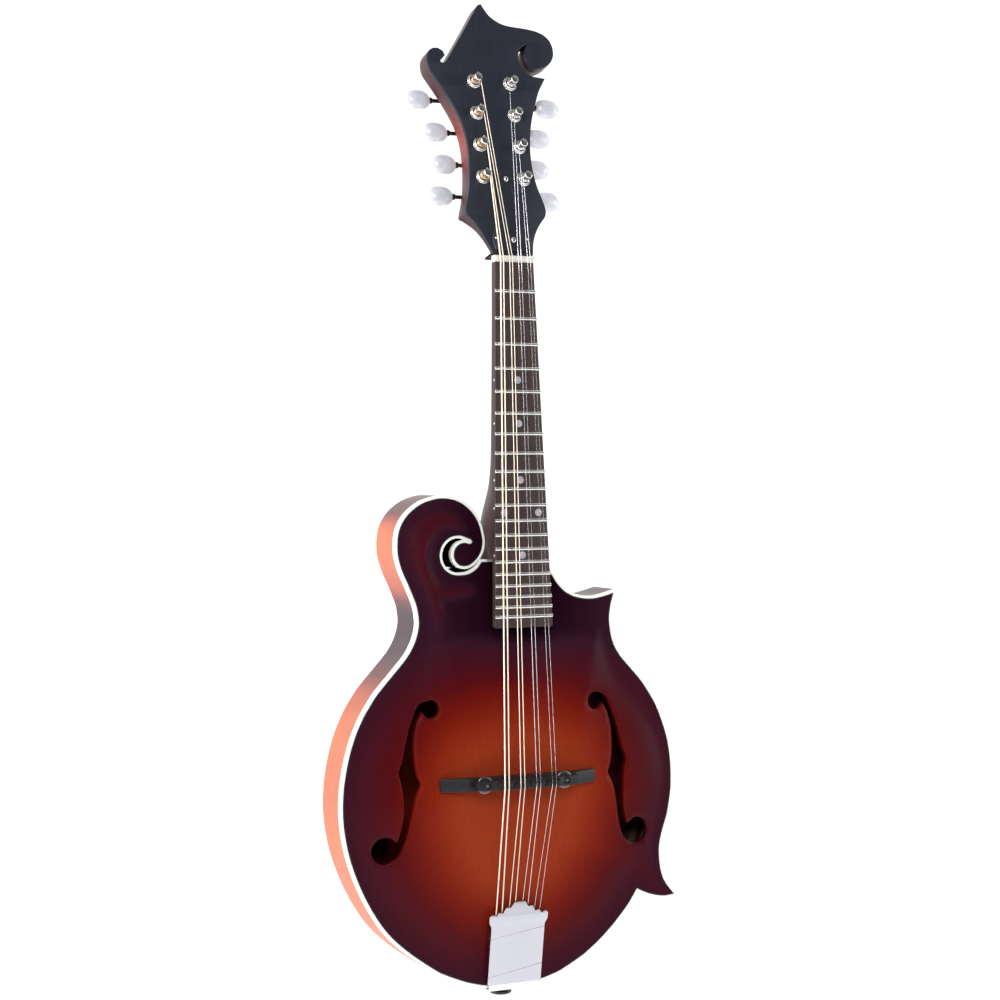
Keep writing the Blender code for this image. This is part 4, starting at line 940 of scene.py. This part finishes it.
def make_post(label, x, s):
    place = shifted(PEGHEAD, x, s, 0)
    bm = bmesh.new()
    top = POST_HEIGHT
    lathe(bm, [(0, top), (1.9, top), (2.5, top - 0.15), (2.9, top - 0.7), (3.0, top - 1.4), (3.0, 6.9),
               (2.75, 6.4), (2.4, 6.1), (2.35, 4.4), (2.4, 2.9), (2.75, 2.5), (3.0, 2.1), (3.0, -GEAR_DEPTH),
               (2.7, -GEAR_DEPTH), (2.7, -GEAR_DEPTH - 1.4), (0, -GEAR_DEPTH - 1.4)], 36)
    toothed(bm, shifted(WORLD, 0, 0, -GEAR_DEPTH), 1.1)
    screw_head(bm, shifted(WORLD, 0, 0, -GEAR_DEPTH - 1.0) @ OVER, 2.1, 0.9)
    body = "tuner_post_" + label
    post = piece("string_post_" + label, bm, place, NICKEL, body, body)
    hole = place @ Matrix.Translation((0, 0, 7.7 * MM)) @ Matrix.Rotation(math.pi / 2, 4, "X")
    drill(post, [hole], 0.75, 12)
    # A black cross in the gear screw's recess: painted shade.
    mark = bmesh.new()
    cross_slot_shade(mark, shifted(place, 0, 0, -GEAR_DEPTH - 1.0) @ OVER, 2.1, 0.9)
    piece("gear_screw_slot_shade_" + label, mark, WORLD, BLACK_LINE_AND_SLOT_SHADE, body)


def worm_radius(z, angle):
    """A right-handed single thread between the worm's two shoulders."""
    pitch = 2 * math.pi * 5.55 / GEAR_TEETH
    phase = (z / pitch - (angle - math.pi / 2) / (2 * math.pi)) % 1.0
    ridge = np.clip(1.6 - abs(phase - round(phase)) * 5.2, 0, 1)
    ends = np.clip((4.4 - abs(z)) / 0.5, 0, 1)
    return 1.75 + 1.05 * ridge * ends


def make_knob(label, side, row, x, s):
    reach = BUTTON_REACH[row] - abs(x)
    place = shifted(PEGHEAD, x, s - WORM_OFFSET, -GEAR_DEPTH) @ Matrix.Rotation(side * math.pi / 2, 4, "Y")
    body = "tuner_knob_" + label
    bm = bmesh.new()
    angles = [2 * math.pi * i / 20 for i in range(20)]
    skin(bm, [ring([worm_radius(z, a) for a in angles], z) for z in np.linspace(-4.4, 4.4, 45)])
    lathe(bm, [(0, -6.9), (1.1, -6.9), (1.4, -6.5), (1.4, -4.3), (0, -4.3)], 20)
    inner = reach - 9.0
    lathe(bm, [(0, 4.3), (1.4, 4.3), (1.4, inner - 2.5), (1.75, inner - 2.2), (2.3, inner - 1.2),
               (2.3, inner + 0.3), (0, inner + 0.3)], 24)
    piece("worm_shaft_" + label, bm, place, SHAFT_METAL, body, body)

    button = bmesh.new()
    sections = []
    for slant in np.linspace(-math.pi / 2, math.pi / 2, 25):
        along = math.sin(slant)
        size = max(1 - abs(along) ** 2.3, 0) ** (1 / 2.3)
        wide, thick = 7.2 * size, 4.3 * size
        sections.append([(thick * math.cos(a), wide * math.sin(a), reach + 9.4 * along)
                         for a in np.linspace(0, 2 * math.pi, 32, endpoint=False)])
    skin(button, sections, capped=False)
    piece("button_" + label, button, place, PEARL, body, angle=60)
    tip = bmesh.new()
    end = reach + 9.4
    lathe(tip, [(0, end + 0.5), (0.8, end + 0.4), (1.25, end + 0.1), (1.35, end - 0.4), (1.0, end - 1.2),
                (0, end - 1.2)], 20)
    piece("button_screw_" + label, tip, place, NICKEL, body)


def make_ferrules():
    for side, row, label in TUNERS:
        x, s = post_place(side, row)
        bm = lathe(bmesh.new(), [(3.25, 1.35), (3.6, 1.75), (4.1, 1.7), (4.55, 1.2), (4.75, 0.6), (5.1, 0.35),
                                 (5.2, 0.1), (5.1, -0.1), (3.5, -0.3), (3.5, -2.6), (3.25, -2.6),
                                 (3.25, 1.35)], 40)
        piece("ferrule_" + label, bm, shifted(PEGHEAD, x, s, 0), NICKEL)


def make_tuner_plate(side, name):
    back = -PEG_THICKNESS
    low_x, low_s = post_place(side, 0)
    high_x, high_s = post_place(side, 3)
    outline = [(x + end * 6.5 * math.cos(a), s + end * 6.5 * math.sin(a))
               for x, s, end in ((high_x, high_s + 5.5, 1), (low_x, low_s - 10, -1))
               for a in np.linspace(0, math.pi, 25)]
    holes = [circle(*post_place(side, row), 3.5) for row in range(4)]
    bm = flat([outline] + holes, back - 1.3, back, 0.25, PEGHEAD)
    for row in range(4):
        x, s = post_place(side, row)
        for offset in (-5.6, 5.6):
            ear = [(-2.5, -0.2), (-2.5, 3.6), (-1.4, 5.6), (1.4, 5.6), (2.5, 3.6), (2.5, -0.2)]
            place = shifted(PEGHEAD, x + offset, s - WORM_OFFSET, back - 1.0) @ OVER
            place = place @ Matrix(((0, 0, 1, 0), (1, 0, 0, 0), (0, 1, 0, 0), (0, 0, 0, 1)))
            flat([rounded(ear, 0.5, 60), circle(0, 2.8, 1.5, 20)], -0.6, 0.6, 0.12, place, bm)
    piece("plate_form_" + name, bm, WORLD, NICKEL, replaced="tuner_plate_" + name)
    spots = []
    for row in range(5):
        x, s = post_place(side, row - 0.43)
        spots.append((shifted(PEGHEAD, x + side * 4.2, s, back - 1.2) @ OVER, 1.5, row * 0.7))
    screws("plate_{}_" + name, 0.8, spots)


def make_tuners():
    for side, row, label in TUNERS:
        x, s = post_place(side, row)
        make_post(label, x, s)
        make_knob(label, side, row, x, s)
    make_ferrules()
    for side, name in SIDES:
        make_tuner_plate(side, name)


# Bridge

POST_SPOTS = [shifted(FRONT, x, BRIDGE_Z, 0) for x in (-30.0, 30.0)]


def make_bridge():
    base = rounded(node_loops("bridge_base", BRIDGE)[0], 1.5, 30)
    piece("bridge_foot", flat([base], -4.5, 4.5, 0.55), BRIDGE, EBONY, replaced="bridge_base")
    low_corner, high_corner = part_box("bridge_saddle")
    low, crown = -high_corner.y / MM, -low_corner.y / MM
    half = 37.5
    line = [(-half, low), (-20, low), (-17, low + 1.6), (17, low + 1.6), (20, low), (half, low),
            (half, low + 3.4), (31, low + 4.7), (26.5, low + 4.8), (23.5, crown - 1.3),
            (-23.5, crown - 1.3), (-26.5, low + 4.8), (-31, low + 4.7), (-half, low + 3.4)]
    saddle = flat([rounded(line, 1.2, 24)], -3.2, 3.2, 0.45)
    for course, shift in zip(SADDLE_COURSES, (-0.9, 0.8, -0.7, 0.9)):
        block(saddle, (course - 5.2, crown - 2.6, shift - 1.7), (course + 5.2, crown, shift + 1.7))
    saddle_piece = piece("saddle_form", saddle, BRIDGE, EBONY, "bridge_saddle", "bridge_saddle")
    drill(saddle_piece, [shifted(spot, 0, 0, low + 2) for spot in POST_SPOTS], 1.85, 12)
    for label, spot in zip(("bass", "treble"), POST_SPOTS):
        tip = low + 4.3
        rings = [(1.5 if k % 2 else 1.28, tip - 0.4 - 0.4 * k) for k in range(1, 30)]
        bm = lathe(bmesh.new(), [(0, tip), (1.1, tip), (1.45, tip - 0.3)] + rings + [(0, rings[-1][1])], 20)
        piece("bridge_screw_" + label, bm, spot, NICKEL, replaced="bridge_post_" + label)
        disc = bmesh.new()
        sections = []
        for radius, knurl, height in ((1.6, 0, 40.6), (4.6, 0, 40.6), (5.6, 0, 40.5), (5.85, 0.12, 40.25),
                                      (5.85, 0.12, 39.15), (5.6, 0, 38.9), (1.6, 0, 38.8)):
            sections.append(ring([radius + knurl * (i % 2) for i in range(96)], height))
        skin(disc, sections, around=True)
        wheel = "thumbwheel_" + label
        piece("wheel_form_" + label, disc, spot, DARK_NICKEL, wheel, wheel)


# Tail

def make_tail():
    pin = [(0, 0), (5.6, 0), (6.7, 0.15), (7.5, 0.7), (7.8, 1.6), (7.3, 2.3), (6.2, 2.7), (5.8, 3.3),
           (5.9, 4.0), (6.6, 4.9), (7.5, 5.6), (7.8, 6.2), (7.5, 6.8), (5.0, 7.0), (4.6, 12),
           (4.2, 30), (0, 30)]
    smooth_pin = [(p.x, p.y) for p in spline(pin[:13], 0.4)] + pin[13:]
    piece("strap_pin", lathe(bmesh.new(), smooth_pin, 48), WORLD, BLACK_PLASTIC, replaced="end_pin")
    dressed("tailpiece_base", NICKEL, 0.22)

    line = rounded(node_loops("tailpiece_cover", TAILPIECE)[0], 0.6, 44)
    bm = flat([line], -0.6, 0, 0.3)
    wall = [p for p in line if p[1] < 41.0]
    start = max(range(len(wall)), key=lambda i: math.dist(wall[i], wall[i - 1]))
    wall = wall[start:] + wall[:start]
    inner = moved(line, -0.8)
    sections = []
    for x, s in wall:
        near = min(inner, key=lambda p: math.dist(p, (x, s)))
        deep = 1.2 + 0.0963 * (s + 1)
        sections.append([(x, s, -0.45), (x, s, -deep), (*near, -deep), (*near, -0.45)])
    skin(bm, sections)
    piece("cover_form", bm, TAILPIECE, CHROME, "tailpiece_cover", "tailpiece_cover")


# Strings

def at(place, x, y, z):
    return place @ Vector((x * MM, y * MM, z * MM)) / MM


def make_strings():
    names = ("g", "d", "a", "e")
    loops = {-1: bmesh.new(), 1: bmesh.new()}
    for index in range(8):
        course, member = divmod(index, 2)
        radius = STRING_RADII[course]
        shift = -1 if member == 0 else 1
        side = -1 if course < 2 else 1
        row = index if side < 0 else 7 - index
        label = f"{'bass' if side < 0 else 'treble'}_{row + 1}"
        name = f"{names[course]}_{member + 1}"
        tail_x = TAIL_SPREAD * (index / 7 - 0.5)
        nut_x = NUT_COURSES[course] + shift * NUT_PAIR
        saddle_x = SADDLE_COURSES[course] + shift * SADDLE_PAIR
        post_x, post_s = post_place(side, row)
        over = radius - STRING_RADII[0]
        material, wrap = (BRONZE_WIRE, COIL_BRONZE) if side < 0 else (PLAIN_WIRE, PLAIN_WIRE)
        hook = Vector((tail_x, -25.1, HOOK_Z + 3))
        saddle = Vector((saddle_x, SADDLE_Y - over, BRIDGE_Z))
        lip = Vector((saddle_x, SADDLE_Y - over, BRIDGE_Z - 1.4))
        rest, leave = at(NECK, nut_x, 0.9, 1.5 + radius), at(NECK, nut_x, NUT_LENGTH, 1.0 + radius)
        reach = WAIST_RADIUS + 0.1 + radius
        meet = at(PEGHEAD, post_x - side * reach, post_s, 4.9)

        ends = (BRIDGE_Z * MM, HOOK_Z * MM)
        below = [hook.lerp(lip, t) for t in np.linspace(0, 1, 20)] + [saddle]
        piece("string_tail_" + name, tube(bmesh.new(), below, radius), WORLD, material,
              replaced="string_" + name,
              bend=("instrument", "bridge_saddle", (0, 0, ends[1]), (0, 0, ends[0])))
        above = [saddle.lerp(rest, t) for t in np.linspace(0, 1, 40)] + [rest.lerp(leave, 0.5), leave]
        above += [leave.lerp(meet, t) for t in np.linspace(0.05, 1, 12)]
        piece("string_run_" + name, tube(bmesh.new(), above, radius), WORLD, material,
              bend=("bridge_saddle", "instrument", (0, 0, ends[0]), (0, 0, NUT_Z * MM)))

        coil = []
        turns = 2.6 if radius > 0.4 else 3.6
        count = round(turns * 16)
        for i in range(count + 1):
            angle = 2 * math.pi * i / 16
            drop = i * (2 * radius + 0.06) / 16
            coil.append(at(PEGHEAD, post_x - side * reach * math.cos(angle), post_s + reach * math.sin(angle),
                           4.9 - min(drop, 1.9)))
        tail_start = at(PEGHEAD, post_x, post_s + 3.4, 7.6)
        post = "tuner_post_" + label
        piece("string_coil_" + name, tube(bmesh.new(), coil, radius, 8), WORLD, wrap, post)
        end = [tail_start + (at(PEGHEAD, post_x, post_s - 3.6, 8.1) - tail_start) * t for t in (0, 0.5, 1)]
        piece("string_end_" + name, tube(bmesh.new(), end, min(radius, 0.4), 8), WORLD, wrap, post)

        eye = [(tail_x + 1.25 * math.sin(a), -25.7, HOOK_Z + 0.9 - 2.1 * math.cos(a) + 0.3)
               for a in np.linspace(math.radians(8), 2 * math.pi - math.radians(8), 21)]
        tube(loops[side], eye, min(radius, 0.2), 8)
        twist = [hook + Vector((0.1, 0, -2.0 + 4.5 * t)) for t in (0, 1)]
        tube(loops[side], twist, radius + 0.12, 8)
    piece("string_loops_bronze", loops[-1], WORLD, COIL_BRONZE)
    piece("string_loops_steel", loops[1], WORLD, PLAIN_WIRE)


# Studio

CAMERA_PLACE = (-628.7, -1339.8, 372.5)
CAMERA_YAW, CAMERA_PITCH, CAMERA_ROLL = 25.16, -1.11, -0.15
LENS = 76.7


def make_camera():
    data = bpy.data.cameras.new("camera")
    data.lens = LENS
    data.sensor_width = 36
    data.clip_start, data.clip_end = 0.01, 50
    camera = linked("camera", data)
    look = Matrix.Rotation(-math.radians(CAMERA_YAW), 4, "Z")
    look = look @ Matrix.Rotation(math.pi / 2 + math.radians(CAMERA_PITCH), 4, "X")
    look = look @ Matrix.Rotation(math.radians(CAMERA_ROLL), 4, "Z")
    camera.matrix_world = Matrix.Translation(Vector(CAMERA_PLACE) * MM) @ look
    bpy.context.scene.camera = camera


def area_light(name, place, target, size, power, color=(1, 1, 1)):
    data = bpy.data.lights.new(name, "AREA")
    data.shape = "RECTANGLE"
    data.size, data.size_y = size
    data.energy = power
    data.color = color
    light = linked(name, data)
    light.location = place
    light.rotation_mode = "QUATERNION"
    light.rotation_quaternion = (Vector(target) - Vector(place)).to_track_quat("-Z", "Y")


def make_studio():
    """A pale floor far below, white surroundings that are dimmer in front, and three soft boxes."""
    floor_z, reach = -900, 3600
    bm = bmesh.new()
    levels = ((10, 0), (reach * 0.8, 0), (reach, 30))
    skin(bm, [ring([r] * 64, floor_z + lift) for r, lift in levels], capped=False)
    bm.faces.new(bm.verts[:64])
    mesh = meshed("floor", bm)
    mesh.shade_smooth()
    white = Surface("floor_white", roughness=0.9, Emission_Color=(1, 1, 1, 1), Emission_Strength=0.22)
    white.color(white.ramp(white.noise(3, 2), [(0.2, 0.97), (0.8, 0.99)]))
    mesh.materials.append(white.material)
    linked("floor", mesh)

    world = bpy.data.worlds.new("studio")
    bpy.context.scene.world = world
    world.use_nodes = True
    nodes, links = world.node_tree.nodes, world.node_tree.links
    parts = nodes.new("ShaderNodeSeparateXYZ")
    links.new(nodes.new("ShaderNodeTexCoord").outputs["Generated"], parts.inputs["Vector"])
    spread = nodes.new("ShaderNodeMapRange")
    links.new(parts.outputs["Y"], spread.inputs["Value"])
    for socket, value in (("From Min", -0.7), ("From Max", 0.4), ("To Min", 0.10), ("To Max", 1.25)):
        spread.inputs[socket].default_value = value
    links.new(spread.outputs["Result"], nodes["Background"].inputs["Strength"])
    nodes["Background"].inputs["Color"].default_value = (1.0, 1.0, 1.0, 1.0)

    area_light("left_box", (-2.4, 0.1, 0.6), (0, 0, 0.3), (1.6, 2.2), 50, (1.0, 0.97, 0.95))
    area_light("key_box", (-0.9, -2.4, 1.7), (0, 0, 0.25), (1.1, 1.1), 44)
    area_light("right_box", (2.2, -1.2, 0.8), (0, 0, 0.3), (1.0, 1.8), 22)
    bpy.context.scene.view_settings.view_transform = "Standard"


make_camera()
make_body()
make_neck()
make_fingerboard()
make_peghead()
make_tuners()
make_bridge()
make_tail()
make_strings()
make_studio()
